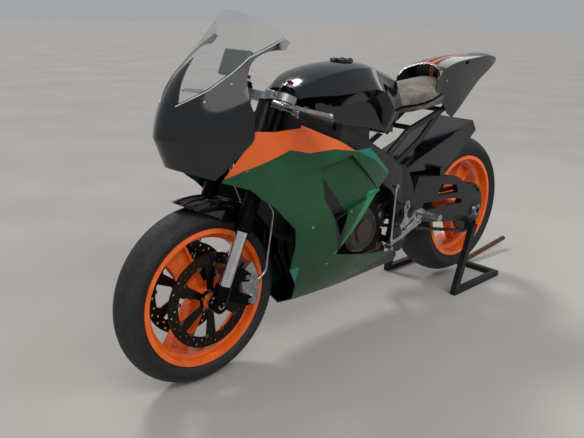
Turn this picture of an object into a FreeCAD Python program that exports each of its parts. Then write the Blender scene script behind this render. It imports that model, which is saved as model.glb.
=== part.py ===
# Sport motorcycle in race trim, standing on its rear paddock stand.
# Lengths are millimetres and angles degrees. +X is forward, +Y is the rider's left, +Z is up.
# Every piece is drawn in the motorcycle's own datum: x = 0 and z = 0 under the front axle, y = 0 on
# the centre plane. Its Placement then moves the datum so that the whole stands centred on the origin.
# Pieces that steer are drawn along the steering axis (z along the axis, x ahead of it).
import FreeCAD, Part
import Sketcher
import math
import os
from FreeCAD import Placement, Rotation, Vector

# Driving dimensions, by the part of the motorcycle that they describe.
SIZES = {
    # stance
    "wheelbase": 1404, "front_wheel_radius": 300, "rear_wheel_radius": 315, "rear_axle_height": 355,
    "rake": 23.5, "fork_offset": 30.6,
    # tyres and rims
    "front_tyre_width": 120, "rear_tyre_width": 184, "bead_radius": 218.6, "flange_radius": 232,
    "front_rim_width": 98, "rear_rim_width": 160, "rim_wall": 8, "flange_wall": 4.5, "hub_radius": 34,
    "spoke_count": 3, "spoke_root": 62, "spoke_tip": 88,
    "front_spoke_thick": 34, "rear_spoke_thick": 44, "spoke_web": 8, "axle_radius": 12.5,
    "axle_bore": 8, "axle_clearance": 0.05,
    # brakes
    "front_disc_radius": 160, "disc_thick": 5, "disc_ring": 36, "front_disc_plane": 64,
    "rear_disc_radius": 110, "rear_disc_plane": 84, "disc_window_count": 6, "disc_hole_radius": 4,
    "disc_hole_count": 24, "pad_gap": 5,
    # chain drive
    "chain_plane": 107, "chain_pitch": 15.875, "front_teeth": 16, "rear_teeth": 43,
    "sprocket_thick": 6, "chain_width": 19, "chain_height": 15, "roller_radius": 5.1,
    "output_shaft_x": -775, "output_shaft_z": 445,
    # fork and controls
    "leg_spread": 210, "outer_tube_radius": 27, "inner_tube_radius": 21.5, "outer_tube_foot": 242,
    "fork_top": 708, "yoke_low": 464, "lower_yoke_thick": 36, "upper_yoke_low": 668,
    "upper_yoke_thick": 24, "stem_radius": 15, "head_radius": 32, "head_gap": 1,
    "axle_lug_radius": 28, "axle_lug_width": 30, "lug_height": 62,
    "bar_radius": 11, "bar_ahead": 34, "bar_height": 652, "bar_half_width": 350, "bar_sweep": 10,
    "bar_droop": 6, "clamp_thick": 24, "clamp_wall": 9, "grip_radius": 16, "grip_length": 120,
    "grip_flange_radius": 25, "lever_length": 165, "lever_ahead": 62,
    "hose_radius": 4.5,
    # mudguards
    "fender_gap": 18, "fender_wall": 4, "fender_side_gap": 7, "hugger_gap": 6, "hugger_wall": 4,
    # frame
    "pivot_x": -868, "pivot_z": 445, "pivot_radius": 14, "pivot_plate_in": 118,
    "pivot_plate_out": 150, "swingarm_in": 126, "swingarm_out": 150, "subframe_tube": 12,
    # bodywork
    "panel_wall": 4, "screen_wall": 3, "seam": 0.3, "prow_radius": 70, "prow_angle": 25,
    # radiator and exhaust
    "radiator_width": 320, "radiator_thick": 24, "header_radius": 17, "silencer_radius": 52,
    # paddock stand
    "stand_tube": 25, "stand_half_width": 188, "stand_behind": 586, "handle_radius": 12,
    "spool_ahead": 60, "spool_below": 37, "spool_radius": 10, "spool_length": 24,
}

doc = FreeCAD.newDocument("SportMotorcycle")
sheet = doc.addObject("Spreadsheet::Sheet", "Sizes")
for row, (alias, number) in enumerate(SIZES.items(), 1):
    sheet.set(f"A{row}", alias)
    sheet.set(f"B{row}", str(number))
    sheet.setAlias(f"B{row}", alias)
doc.recompute()


class SheetValues:
    """Reads a size from the sheet by its alias, such as S.wheelbase."""

    def __getattr__(self, alias):
        return float(sheet.get(alias))


S = SheetValues()
nodes = []

# Steering frame: its origin lies on the steering axis, square to it from the front axle.
rake = math.radians(S.rake)
steer_foot_x = -S.fork_offset * math.cos(rake)
steer_foot_z = S.front_wheel_radius - S.fork_offset * math.sin(rake)
rear_axle = Vector(-S.wheelbase, 0, S.rear_axle_height)
spool_x = rear_axle.x + S.spool_ahead
spool_z = rear_axle.z - S.spool_below


def steering_point(x, y, z):
    """A point of the steering frame, in the datum."""
    return Vector(
        steer_foot_x + x * math.cos(rake) - z * math.sin(rake),
        y,
        steer_foot_z + x * math.sin(rake) + z * math.cos(rake),
    )


# Each frame gives a Placement: x and z as an expression of the sheet and as a number.
stand_end = S.wheelbase + S.stand_behind
middle = (stand_end - S.front_wheel_radius) / 2
MIDDLE = "(Sizes.wheelbase + Sizes.stand_behind - Sizes.front_wheel_radius) / 2"
FRAMES = {
    "chassis": (MIDDLE, middle, "0", 0),
    "front wheel": (MIDDLE, middle, "Sizes.front_wheel_radius", S.front_wheel_radius),
    "rear wheel": (
        MIDDLE + " - Sizes.wheelbase", middle - S.wheelbase,
        "Sizes.rear_axle_height", S.rear_axle_height,
    ),
    "steering": (
        MIDDLE + " - Sizes.fork_offset * cos(Sizes.rake * 1 deg)", middle + steer_foot_x,
        "Sizes.front_wheel_radius - Sizes.fork_offset * sin(Sizes.rake * 1 deg)", steer_foot_z,
    ),
}


def keep(obj, label, frame="chassis"):
    """Names a finished sub-part and ties its Placement to the sheet."""
    x_text, x, z_text, z = FRAMES[frame]
    obj.Label = label
    turn = Rotation(Vector(0, -1, 0), S.rake) if frame == "steering" else Rotation()
    obj.Placement = Placement(Vector(x, 0, z), turn)
    obj.setExpression("Placement.Base.x", x_text)
    obj.setExpression("Placement.Base.z", z_text)
    if frame == "steering":
        obj.setExpression("Placement.Rotation.Angle", "Sizes.rake")
    nodes.append(obj)
    return obj


def solid_node(label, shape, frame="chassis"):
    """A free-form piece: a feature that holds a shape made from sheet sizes."""
    obj = doc.addObject("Part::Feature", label)
    obj.Shape = shape.Solids[0] if len(shape.Solids) == 1 else shape
    return keep(obj, label, frame)


# Outlines are lists of moves: (u, v) is a line to that point and (um, vm, u, v) an arc through the
# first point to the second. The last point closes back to the first.
def edges_of(path, place):
    points = [move[-2:] for move in path]
    edges = []
    for index, move in enumerate(path):
        start = place(*points[index - 1])
        end = place(*points[index])
        if len(move) == 4:
            edges.append(Part.Arc(start, place(move[0], move[1]), end))
        else:
            edges.append(Part.LineSegment(start, end))
    return edges


def prism(path, plane, start, end):
    """The outline, drawn on plane XZ, YZ or XY, extruded from start to end along the other axis."""
    place = {
        "XZ": lambda u, v: Vector(u, start, v),
        "YZ": lambda u, v: Vector(start, u, v),
        "XY": lambda u, v: Vector(u, v, start),
    }[plane]
    along = {"XZ": Vector(0, 1, 0), "YZ": Vector(1, 0, 0), "XY": Vector(0, 0, 1)}[plane]
    wire = Part.Wire([edge.toShape() for edge in edges_of(path, place)])
    return Part.Face(wire).extrude(along * (end - start))


def box(x1, x2, y1, y2, z1, z2):
    low = Vector(min(x1, x2), min(y1, y2), min(z1, z2))
    return Part.makeBox(abs(x2 - x1), abs(y2 - y1), abs(z2 - z1), low)


def rod(start, end, radius):
    """A round bar between two points."""
    start = Vector(start)
    run = Vector(end) - start
    return Part.makeCylinder(radius, run.Length, start, run)


def ring(start, end, outer, inner):
    return rod(start, end, outer).cut(rod(start, end, inner))


def bent_tube(points, radius, bend):
    """A tube along straight runs joined by tangent arcs of one bend radius."""
    points = [Vector(p) for p in points]
    edges = []
    start = points[0]
    for before, corner, after in zip(points, points[1:], points[2:]):
        back = (before - corner).normalize()
        ahead = (after - corner).normalize()
        half = back.getAngle(ahead) / 2
        trim = bend / math.tan(half)
        arc_start = corner + back * trim
        arc_end = corner + ahead * trim
        middle = (back + ahead).normalize()
        arc_middle = corner + middle * (bend / math.sin(half) - bend)
        edges.append(Part.LineSegment(start, arc_start).toShape())
        edges.append(Part.Arc(arc_start, arc_middle, arc_end).toShape())
        start = arc_end
    edges.append(Part.LineSegment(start, points[-1]).toShape())
    circle = Part.Circle(points[0], points[1] - points[0], radius)
    return Part.Wire(edges).makePipeShell([Part.Wire([circle.toShape()])], True, True)


def fuse(*shapes):
    shapes = list(shapes)
    return shapes[0].multiFuse(shapes[1:])


def largest(shape):
    """The main solid of a cut shape, without its slivers."""
    return max(shape.Solids, key=lambda solid: solid.Volume)


def both_sides(shape):
    return [shape, shape.mirror(Vector(), Vector(0, 1, 0))]


def loft(wires, ruled=False):
    return Part.makeLoft(wires, True, ruled)


# PartDesign helpers.
def new_body(label):
    body = doc.addObject("PartDesign::Body", label)
    return body


def new_sketch(body, plane, path=None, lift=0.0, name="Outline"):
    """A sketch on one of the body's origin planes, lifted along the plane's normal."""
    sketch = body.newObject("Sketcher::SketchObject", name)
    roles = {feature.Role: feature for feature in body.Origin.OriginFeatures}
    sketch.AttachmentSupport = [(roles[plane], "")]
    sketch.MapMode = "FlatFace"
    sketch.AttachmentOffset = Placement(Vector(0, 0, lift), Rotation())
    if path:
        sketch.addGeometry(edges_of(path, lambda u, v: Vector(u, v, 0)), False)
    return sketch


def circle_in(sketch, u, v, radius, expression=None):
    """A circle whose radius is bound to the sheet."""
    index = sketch.addGeometry(Part.Circle(Vector(u, v, 0), Vector(0, 0, 1), radius), False)
    if expression:
        constraint = sketch.addConstraint(Sketcher.Constraint("Radius", index, radius))
        sketch.setExpression(f"Constraints[{constraint}]", expression)
    return index


def pad(body, sketch, length, name="Pad", reverse=False):
    feature = body.newObject("PartDesign::Pad", name)
    feature.Profile = sketch
    feature.Reversed = reverse
    bind(feature, "Length", length)
    return feature


def pocket(body, sketch, length, name="Pocket", reverse=False):
    feature = body.newObject("PartDesign::Pocket", name)
    feature.Profile = sketch
    feature.Reversed = reverse
    bind(feature, "Length", length)
    return feature


def bind(feature, prop, amount):
    """Sets a property from a number, or ties it to an expression of the sheet."""
    if isinstance(amount, str):
        feature.setExpression(prop, amount)
    else:
        setattr(feature, prop, amount)


def revolve(body, sketch, name="Turned"):
    """Turns a sketch of the YZ plane about the body's Y axis."""
    feature = body.newObject("PartDesign::Revolution", name)
    feature.Profile = sketch
    roles = {item.Role: item for item in body.Origin.OriginFeatures}
    feature.ReferenceAxis = (roles["Y_Axis"], [""])
    feature.Angle = 360
    return feature


def polar(body, features, count, name="Round", axis="Y_Axis"):
    pattern = body.newObject("PartDesign::PolarPattern", name)
    pattern.Originals = features
    roles = {item.Role: item for item in body.Origin.OriginFeatures}
    pattern.Axis = (roles[axis], [""])
    pattern.Angle = 360
    bind(pattern, "Occurrences", count)
    body.Tip = pattern
    return pattern


# Wheels, drawn about their own centre on the Y axis.
def tyre_path(width, radius):
    """Half round tread over straight beads, in y and r."""
    half = width / 2
    bead = S.bead_radius
    shoulder = bead + (radius - bead) * 0.5
    seat = half_seat(width)
    return [
        (-seat, bead),
        (-seat, S.flange_radius + 1),
        (-half * 0.93, (S.flange_radius + shoulder) / 2, -half, shoulder),
        (-half * 0.62, radius - (radius - shoulder) * 0.27, 0, radius),
        (half * 0.62, radius - (radius - shoulder) * 0.27, half, shoulder),
        (half * 0.93, (S.flange_radius + shoulder) / 2, seat, S.flange_radius + 1),
        (seat, bead),
    ]


def half_seat(tyre_width):
    """Half the width between the rim's flanges, where the beads sit."""
    rim = S.front_rim_width if tyre_width < (S.front_tyre_width + S.rear_tyre_width) / 2 else S.rear_rim_width
    return rim / 2 - S.flange_wall - S.seam


def wheel_tyre(label, width, radius, frame):
    body = new_body(label)
    revolve(body, new_sketch(body, "YZ_Plane", tyre_path(width, radius), name="Section"))
    return keep(body, label, frame)


def rim_path(width):
    """Barrel with a well and two flanges, in y and r."""
    half = width / 2
    seat = S.bead_radius - S.seam
    inner = seat - S.rim_wall
    well = seat - 14
    lip = S.flange_wall
    return [
        (-half, S.flange_radius),
        (-half + lip, S.flange_radius),
        (-half + lip, seat),
        (-half * 0.5, seat),
        (-half * 0.36, well),
        (half * 0.36, well),
        (half * 0.5, seat),
        (half - lip, seat),
        (half - lip, S.flange_radius),
        (half, S.flange_radius),
        (half, seat - 2),
        (half * 0.55, inner),
        (half * 0.4, well - S.rim_wall),
        (-half * 0.4, well - S.rim_wall),
        (-half * 0.55, inner),
        (-half, seat - 2),
    ]


def wheel_rim(label, width, hub_ends, spoke_thick, frame, turn):
    """Cast rim with broad spokes, recessed on both faces; the hub runs between two y positions."""
    body = new_body(label)
    revolve(body, new_sketch(body, "YZ_Plane", rim_path(width), name="Barrel_section"), "Barrel")
    bore = S.axle_radius + S.axle_clearance
    right, left = hub_ends
    hub = [(right, bore), (right, S.hub_radius), (left, S.hub_radius), (left, bore)]
    revolve(body, new_sketch(body, "YZ_Plane", hub, name="Hub_section"), "Hub")
    reach = S.bead_radius - S.rim_wall - 12
    root = S.hub_radius - 6
    turn = math.radians(turn)

    def turned(u, v):
        return (u * math.cos(turn) - v * math.sin(turn), u * math.sin(turn) + v * math.cos(turn))

    spoke = [
        turned(-S.spoke_root / 2, root), turned(-S.spoke_tip / 2, reach),
        turned(S.spoke_tip / 2, reach), turned(S.spoke_root / 2, root),
    ]
    edge = S.spoke_web
    hollow = [
        turned(-S.spoke_root / 2 + edge + 3, root + 26), turned(-S.spoke_tip / 2 + edge, reach - 12),
        turned(S.spoke_tip / 2 - edge, reach - 12), turned(S.spoke_root / 2 - edge - 3, root + 26),
    ]
    blade = pad(body, new_sketch(body, "XZ_Plane", spoke, -spoke_thick / 2, "Spoke"), spoke_thick, "Spoke_pad")
    spokes = polar(body, [blade], "Sizes.spoke_count", "Spokes")
    depth = spoke_thick / 2 - S.spoke_web / 2
    near = new_sketch(body, "XZ_Plane", hollow, spoke_thick / 2, "Hollow")
    far = new_sketch(body, "XZ_Plane", hollow, -spoke_thick / 2, "Hollow_far")
    dish = pocket(body, near, depth, "Dish")
    polar(body, [dish], "Sizes.spoke_count", "Dishes")
    dish_far = pocket(body, far, depth, "Dish_far", reverse=True)
    polar(body, [dish_far], "Sizes.spoke_count", "Dishes_far")
    return keep(body, label, frame)


def brake_disc(label, radius, plane, ring_width):
    """Floating disc: a drilled ring on a windowed carrier, in one plane beside the hub."""
    body = new_body(label)
    inner = S.hub_radius - 4
    start = -plane + S.disc_thick / 2
    blank = new_sketch(body, "XZ_Plane", None, start - S.disc_thick, "Blank")
    circle_in(blank, 0, 0, radius)
    circle_in(blank, 0, 0, inner)
    pad(body, blank, "Sizes.disc_thick", "Disc")
    outer = radius - ring_width
    span = math.radians(360 / S.disc_window_count / 2 - 9)
    low = inner + 10

    def spot(r, angle):
        return (r * math.cos(angle), r * math.sin(angle))

    window_path = [
        spot(outer, -span),
        spot(outer, 0) + spot(outer, span),
        spot(low, span * 0.7),
        spot(low, 0) + spot(low, -span * 0.7),
    ]
    window_sketch = new_sketch(body, "XZ_Plane", window_path, start, "Window")
    window = pocket(body, window_sketch, "2 * Sizes.disc_thick", "Window_cut")
    polar(body, [window], "Sizes.disc_window_count", "Windows")
    for index, share in enumerate((0.3, 0.7)):
        hole = new_sketch(body, "XZ_Plane", None, start, "Hole")
        angle = index * math.pi / S.disc_hole_count
        circle_in(hole, *spot(outer + ring_width * share, angle), S.disc_hole_radius, "Sizes.disc_hole_radius")
        drilled = pocket(body, hole, "2 * Sizes.disc_thick", "Drilling")
        polar(body, [drilled], "Sizes.disc_hole_count", "Drillings")
    return body


def pitch_circle(teeth):
    return S.chain_pitch / 2 / math.sin(math.pi / teeth)


def sprocket(label, teeth_alias, plane, frame, inner):
    """Toothed ring: tooth gaps are cut on the pitch circle where the rollers would lie."""
    pitch_radius = pitch_circle(getattr(S, teeth_alias))
    body = new_body(label)
    start = -plane - S.sprocket_thick / 2
    blank = new_sketch(body, "XZ_Plane", None, start, "Blank")
    circle_in(blank, 0, 0, pitch_radius - S.seam)
    circle_in(blank, 0, 0, inner)
    pad(body, blank, "Sizes.sprocket_thick", "Disc")
    gap = new_sketch(body, "XZ_Plane", None, start, "Tooth_gap")
    circle_in(gap, pitch_radius, 0, S.roller_radius + 0.4)
    cut = pocket(body, gap, "2 * Sizes.sprocket_thick", "Gap", reverse=True)
    polar(body, [cut], f"Sizes.{teeth_alias}", "Gaps")
    return keep(body, label, frame)


wheel_tyre("front_tyre", S.front_tyre_width, S.front_wheel_radius, "front wheel")
front_hub = S.front_disc_plane - S.disc_thick / 2
wheel_rim("front_rim", S.front_rim_width, (-front_hub, front_hub), S.front_spoke_thick, "front wheel", 90)
wheel_tyre("rear_tyre", S.rear_tyre_width, S.rear_wheel_radius, "rear wheel")
rear_hub_right = S.disc_thick / 2 - S.rear_disc_plane
rear_hub_left = S.chain_plane - S.sprocket_thick / 2
wheel_rim("rear_rim", S.rear_rim_width, (rear_hub_right, rear_hub_left), S.rear_spoke_thick, "rear wheel", 30)
front_discs = doc.addObject("Part::Compound", "Front_discs")
front_discs.Links = [
    brake_disc(f"Front_disc_{name}", S.front_disc_radius, side * S.front_disc_plane, S.disc_ring)
    for name, side in (("left", 1), ("right", -1))
]
keep(front_discs, "front_discs", "front wheel")
rear_disc = brake_disc("rear_disc", S.rear_disc_radius, -S.rear_disc_plane, S.disc_ring - 8)
keep(rear_disc, "rear_disc", "rear wheel")
sprocket("rear_sprocket", "rear_teeth", S.chain_plane, "rear wheel", S.hub_radius - 6)


# Front fork and what steers with it, drawn in the steering frame.
leg_x = S.fork_offset
leg_y = S.leg_spread / 2
axle_reach = leg_y + S.axle_lug_width / 2 + 4


def round_stack(steps, y):
    """A turned piece round the fork leg at y: steps of (z from, z to, radius)."""
    return fuse(*[rod((leg_x, y, low), (leg_x, y, high), radius) for low, high, radius in steps])


axle_outer = doc.addObject("Part::Cylinder", "Axle_bar")
axle_outer.setExpression("Radius", "Sizes.axle_radius")
axle_outer.Height = 2 * axle_reach
axle_inner = doc.addObject("Part::Cylinder", "Axle_hole")
axle_inner.setExpression("Radius", "Sizes.axle_bore")
axle_inner.Height = 2 * axle_reach
for bar in (axle_outer, axle_inner):
    bar.Placement = Placement(Vector(leg_x, axle_reach, 0), Rotation(Vector(1, 0, 0), 90))
front_axle = doc.addObject("Part::Cut", "Front_axle")
front_axle.Base = axle_outer
front_axle.Tool = axle_inner
keep(front_axle, "front_axle", "steering")


# Side view of the two ears behind the leg, from the leg's line, and the caliper's two bolt spots.
CALIPER_EARS = [
    (-10, 20), (-10, 120), (-44, 130), (-88, 118), (-92, 92), (-54, 84), (-58, 52), (-122, 46), (-136, 28),
    (-120, 12), (-40, 16),
]
CALIPER_SPOTS = [(-78, 104), (-122, 30)]


def fork_bottom(side):
    """Axle lug, socket of the inner tube and the two caliper ears behind it."""
    y = side * leg_y
    half = S.axle_lug_width / 2
    lug = rod((leg_x, y - half, 0), (leg_x, y + half, 0), S.axle_lug_radius)
    socket = rod((leg_x, y, 0), (leg_x, y, S.lug_height), S.inner_tube_radius + 5)
    arm = prism([(leg_x + u, v) for u, v in CALIPER_EARS], "XZ", y - 9, y + 9)
    arm = arm.cut(rod((leg_x, y, 0), (leg_x, y, 200), S.inner_tube_radius))
    body = fuse(lug, socket, arm)
    return body.cut(rod((leg_x, -S.leg_spread, 0), (leg_x, S.leg_spread, 0), S.axle_radius))


def caliper(plane, radius, angle, pad_width, centre_x, centre_z):
    """Caliper block over the disc's edge: an arc sector with a slot for the disc."""
    outer = radius + 22
    inner = radius - 46
    spread = math.radians(26)
    middle = math.radians(angle)

    def spot(r, a):
        return (centre_x + r * math.cos(a), centre_z + r * math.sin(a))

    path = [
        spot(outer, middle - spread),
        spot(outer, middle) + spot(outer, middle + spread),
        spot(inner, middle + spread),
        spot(inner, middle) + spot(inner, middle - spread),
    ]
    slot_half = S.disc_thick / 2 + S.pad_gap
    block = prism(path, "XZ", plane - pad_width / 2, plane + pad_width / 2)
    slot = ring(
        (centre_x, plane - slot_half, centre_z), (centre_x, plane + slot_half, centre_z), radius + 6,
        inner - 20,
    )
    return block.cut(slot)


def clip_on(side):
    """Clamp round the leg under the top yoke, with the bare handlebar tube ahead of it."""
    y = side * leg_y
    low = S.bar_height - S.clamp_thick / 2
    clamp = ring(
        (leg_x, y, low), (leg_x, y, low + S.clamp_thick), S.outer_tube_radius + S.clamp_wall,
        S.outer_tube_radius,
    )
    start, end = bar_line(side)
    tube = rod(start, end, S.bar_radius)
    boss = rod(start, start + (end - start) * 0.13, S.bar_radius + 2)
    body = fuse(clamp, boss.cut(leg_core(side)), tube.cut(leg_core(side)))
    plug = rod(end - (end - start).normalize() * 14, end, S.grip_radius - 1)
    return fuse(body, plug)


def leg_core(side):
    y = side * leg_y
    return rod((leg_x, y, S.outer_tube_foot), (leg_x, y, S.fork_top), S.outer_tube_radius)


def bar_line(side):
    """Ends of the handlebar's centre line, swept back and drooping from the clamp."""
    run = S.bar_half_width - leg_y
    start = Vector(leg_x + S.bar_ahead, side * (leg_y - 6), S.bar_height)
    end = Vector(
        leg_x + S.bar_ahead - run * math.tan(math.radians(S.bar_sweep)),
        side * S.bar_half_width,
        S.bar_height - run * math.tan(math.radians(S.bar_droop)),
    )
    return start, end


def grip(side):
    start, end = bar_line(side)
    along = (end - start).normalize()
    outer_end = end - along * 14
    inner_end = outer_end - along * S.grip_length
    sleeve = ring(inner_end, outer_end, S.grip_radius, S.bar_radius)
    flange = ring(inner_end, inner_end + along * 6, S.grip_flange_radius, S.bar_radius)
    return fuse(sleeve, flange)


def lever(side):
    """Perch on the bar and a bent blade ahead of the grip."""
    start, end = bar_line(side)
    along = (end - start).normalize()
    root = end - along * (14 + S.grip_length + 20)
    perch = ring(root - along * 14, root + along * 2, S.bar_radius + 7, S.bar_radius)
    low = root.z - 6
    sign = side
    x, y = root.x, abs(root.y)
    ahead = S.lever_ahead
    length = S.lever_length
    path = [
        (x + 12, sign * (y - 14)), (x + ahead, sign * (y - 10)), (x + ahead + 6, sign * (y + 30)),
        (x + ahead - 4, sign * (y + 70)), (x + ahead - 22, sign * (y + length - 12)),
        (x + ahead - 26, sign * (y + length)), (x + ahead - 34, sign * (y + length - 12)),
        (x + ahead - 16, sign * (y + 68)), (x + ahead - 10, sign * (y + 22)), (x + 12, sign * (y + 1)),
    ]
    blade = prism(path, "XY", low, low + 11)
    ball = Part.makeSphere(8, Vector(x + ahead - 28, sign * (y + length - 3), low + 5.5))
    for reach in (44, 60, 76, 92):
        hole_x = x + ahead - (reach - 30) * 0.24
        hole_y = sign * (y + reach)
        blade = blade.cut(rod((hole_x, hole_y, low - 1), (hole_x, hole_y, low + 12), 2.5))
    blade = blade.cut(rod(root - along * 30, root + along * 60, S.bar_radius + 4))
    return fuse(perch, blade, ball)


def slider(side):
    return round_stack([(S.lug_height, S.outer_tube_foot, S.inner_tube_radius)], side * leg_y)


def outer_tube(side):
    foot = S.outer_tube_foot
    return round_stack(
        [
            (foot, foot + 26, S.outer_tube_radius + 1.5),
            (foot + 26, S.fork_top, S.outer_tube_radius),
            (S.fork_top, S.fork_top + 9, S.outer_tube_radius - 5),
        ],
        side * leg_y,
    )


# Route of the left brake hose: out of the caliper's back, up behind the leg, into the lower yoke.
HOSE_ROUTE = [(-112, 80, 82), (-152, 82, 128), (-98, 84, 330), (14, 62, 412)]


def front_caliper(side):
    """Caliper on two bosses, with its braided hose up to the lower yoke."""
    block = caliper(side * S.front_disc_plane, S.front_disc_radius, 148, 54, leg_x, 0)
    start = side * (S.front_disc_plane + 20)
    bosses = [rod((leg_x + u, start, v), (leg_x + u, side * leg_y, v), 9) for u, v in CALIPER_SPOTS]
    route = [(x, side * y, z) for x, y, z in HOSE_ROUTE]
    route.append((14, side * 62, S.yoke_low))
    hose = bent_tube(route, S.hose_radius, 34)
    union = rod((-118, side * 80, 86), (-136, side * 81, 108), S.hose_radius + 2.5)
    return fuse(block, hose, union, *bosses).cut(fork_bottom(side))


def pair_node(label, build, frame):
    """Two like pieces, one on each side, that share a node."""
    return solid_node(label, Part.makeCompound([build(1), build(-1)]), frame)


for label, build in (
    ("fork_bottoms", fork_bottom), ("fork_sliders", slider), ("fork_tubes", outer_tube),
    ("front_calipers", front_caliper), ("handlebars", clip_on), ("grips", grip), ("levers", lever),
):
    pair_node(label, build, "steering")


def yoke_path(margin):
    """Plan of a yoke: two leg bosses joined by a waisted web round the stem."""
    wall = S.outer_tube_radius + margin
    return [
        (leg_x - wall, leg_y - wall * 0.2),
        (leg_x - wall * 0.7, leg_y + wall * 0.7, leg_x, leg_y + wall),
        (leg_x + wall * 0.7, leg_y + wall * 0.7, leg_x + wall, leg_y),
        (leg_x + wall - 10, leg_y - 46),
        (leg_x + 8, 0, leg_x + wall - 10, -leg_y + 46),
        (leg_x + wall, -leg_y),
        (leg_x + wall * 0.7, -leg_y - wall * 0.7, leg_x, -leg_y - wall),
        (leg_x - wall * 0.7, -leg_y - wall * 0.7, leg_x - wall, -leg_y + wall * 0.2),
        (-24, -28),
        (-36, 0, -24, 28),
    ]


def yokes():
    """Lower yoke with the stem pressed in, and the upper yoke clamped on the stem's end."""
    body = new_body("yokes")
    low = S.yoke_low
    high = S.upper_yoke_low
    lower = new_sketch(body, "XY_Plane", yoke_path(10), low, "Lower_plan")
    pad(body, lower, "Sizes.lower_yoke_thick", "Lower_plate")
    stem = new_sketch(body, "XY_Plane", None, low + 1, "Stem")
    circle_in(stem, 0, 0, S.stem_radius, "Sizes.stem_radius")
    pad(body, stem, high - low, "Stem_bar")
    upper = new_sketch(body, "XY_Plane", yoke_path(9), high, "Upper_plan")
    pad(body, upper, "Sizes.upper_yoke_thick", "Upper_plate")
    bores = new_sketch(body, "XY_Plane", None, low, "Bores")
    for y in (leg_y, -leg_y):
        circle_in(bores, leg_x, y, S.outer_tube_radius, "Sizes.outer_tube_radius")
    pocket(body, bores, high, "Leg_bores", reverse=True)
    return keep(body, "yokes", "steering")


yokes()


def fender_section(radius, half, wall):
    """Inverted U in y and r about the axle, as wide as half each side."""
    low = radius - 62
    return [
        (-half, low),
        (-half, radius - 26),
        (-half * 0.8, radius - 8, 0, radius),
        (half * 0.8, radius - 8, half, radius - 26),
        (half, low),
        (half - wall, low),
        (half - wall, radius - 26),
        ((half - wall) * 0.78, radius - 8 - wall, 0, radius - wall),
        (-(half - wall) * 0.78, radius - 8 - wall, -(half - wall), radius - 26),
        (-(half - wall), low),
    ]


def arc_shell(section, centre, start_angle, end_angle):
    """The y and r section swept about an axle from one angle, ahead of the top, to another."""
    wire = Part.Wire([edge.toShape() for edge in edges_of(section, lambda y, r: Vector(0, y, r))])
    shape = Part.Face(wire).revolve(Vector(), Vector(0, 1, 0), start_angle - end_angle)
    shape.rotate(Vector(), Vector(0, 1, 0), end_angle)
    shape.translate(centre)
    return shape


def front_fender():
    """Mudguard over the tyre: pointed beak ahead, sides cut to follow it, two ears to the legs."""
    radius = S.front_wheel_radius + S.fender_gap + S.fender_wall
    half = S.front_tyre_width / 2 + S.fender_side_gap + S.fender_wall
    shell = arc_shell(fender_section(radius, half, S.fender_wall), Vector(leg_x, 0, 0), 62, -48)
    side_cut = [
        (leg_x + 330, 0), (leg_x + 330, 190), (leg_x + 200, 262), (leg_x + 80, 262), (leg_x + 40, 246),
        (leg_x - 60, 248), (leg_x - 150, 200), (leg_x - 260, 160), (leg_x - 260, 0),
    ]
    shell = shell.cut(prism(side_cut, "XZ", -half - 1, half + 1))
    beak = prism(
        [(leg_x + 120, half + 20), (leg_x + 330, half + 20), (leg_x + 330, 4), (leg_x + 290, 12)],
        "XY", 0, radius + 10,
    )
    shell = shell.cut(Part.makeCompound(both_sides(beak)))
    ear = rod((leg_x, half - 2, 262), (leg_x, leg_y - S.outer_tube_radius - 1.5 - S.seam, 262), 9)
    return fuse(shell, *both_sides(ear))


solid_node("front_fender", front_fender(), "steering")


# Main frame: head tube, two spars that wrap the engine, pivot plates and cross tubes.
def yz_box(x, y1, y2, z1, z2):
    """Closed rectangular section across the motorcycle at x."""
    corners = [Vector(x, y1, z1), Vector(x, y2, z1), Vector(x, y2, z2), Vector(x, y1, z2)]
    return Part.makePolygon(corners + corners[:1])


head_low = S.yoke_low + S.lower_yoke_thick + S.head_gap
head_high = S.upper_yoke_low - S.head_gap
# x, inner y, outer y, low z, high z of the left spar.
SPAR = [
    (-262, 0, 30, 775, 872),
    (-352, 60, 92, 758, 872),
    (-450, 150, 186, 720, 828),
    (-600, 156, 192, 648, 762),
    (-760, 132, 168, 560, 682),
    (-850, 118, 150, 480, 622),
]


def main_frame():
    spar = loft([yz_box(*station) for station in SPAR], ruled=True)
    plate = prism(
        [
            (-818, 640), (-872, 628, -900, 590), (-934, 500, -924, 420), (-916, 366, -888, 312),
            (-866, 288, -836, 300), (-812, 360), (-826, 440, -800, 520), (-770, 590),
        ],
        "XZ", S.pivot_plate_in, S.pivot_plate_out,
    )
    upper_cross = box(-842, -812, -S.pivot_plate_in, S.pivot_plate_in, 560, 606)
    lower_cross = rod((-862, -S.pivot_plate_in, 318), (-862, S.pivot_plate_in, 318), 14)
    low = steering_point(0, 0, head_low)
    high = steering_point(0, 0, head_high)
    gusset = box(-300, -262, -36, 36, 790, 868)
    frame = fuse(rod(low, high, S.head_radius), gusset, *both_sides(spar), *both_sides(plate), upper_cross,
                 lower_cross)
    bore = rod(low, high, S.stem_radius + S.axle_clearance)
    reach = S.pivot_plate_out + 6
    ends = ((S.pivot_x, -reach, S.pivot_z), (S.pivot_x, reach, S.pivot_z))
    shaft = rod(*ends, S.pivot_radius)
    return fuse(frame.cut(bore), shaft).cut(rod(*ends, S.axle_bore))


frame_shape = main_frame()
solid_node("frame", frame_shape)


def rider_tube(points, side, radius):
    return bent_tube([(x, side * y, z) for x, y, z in points], radius, 60)


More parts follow.
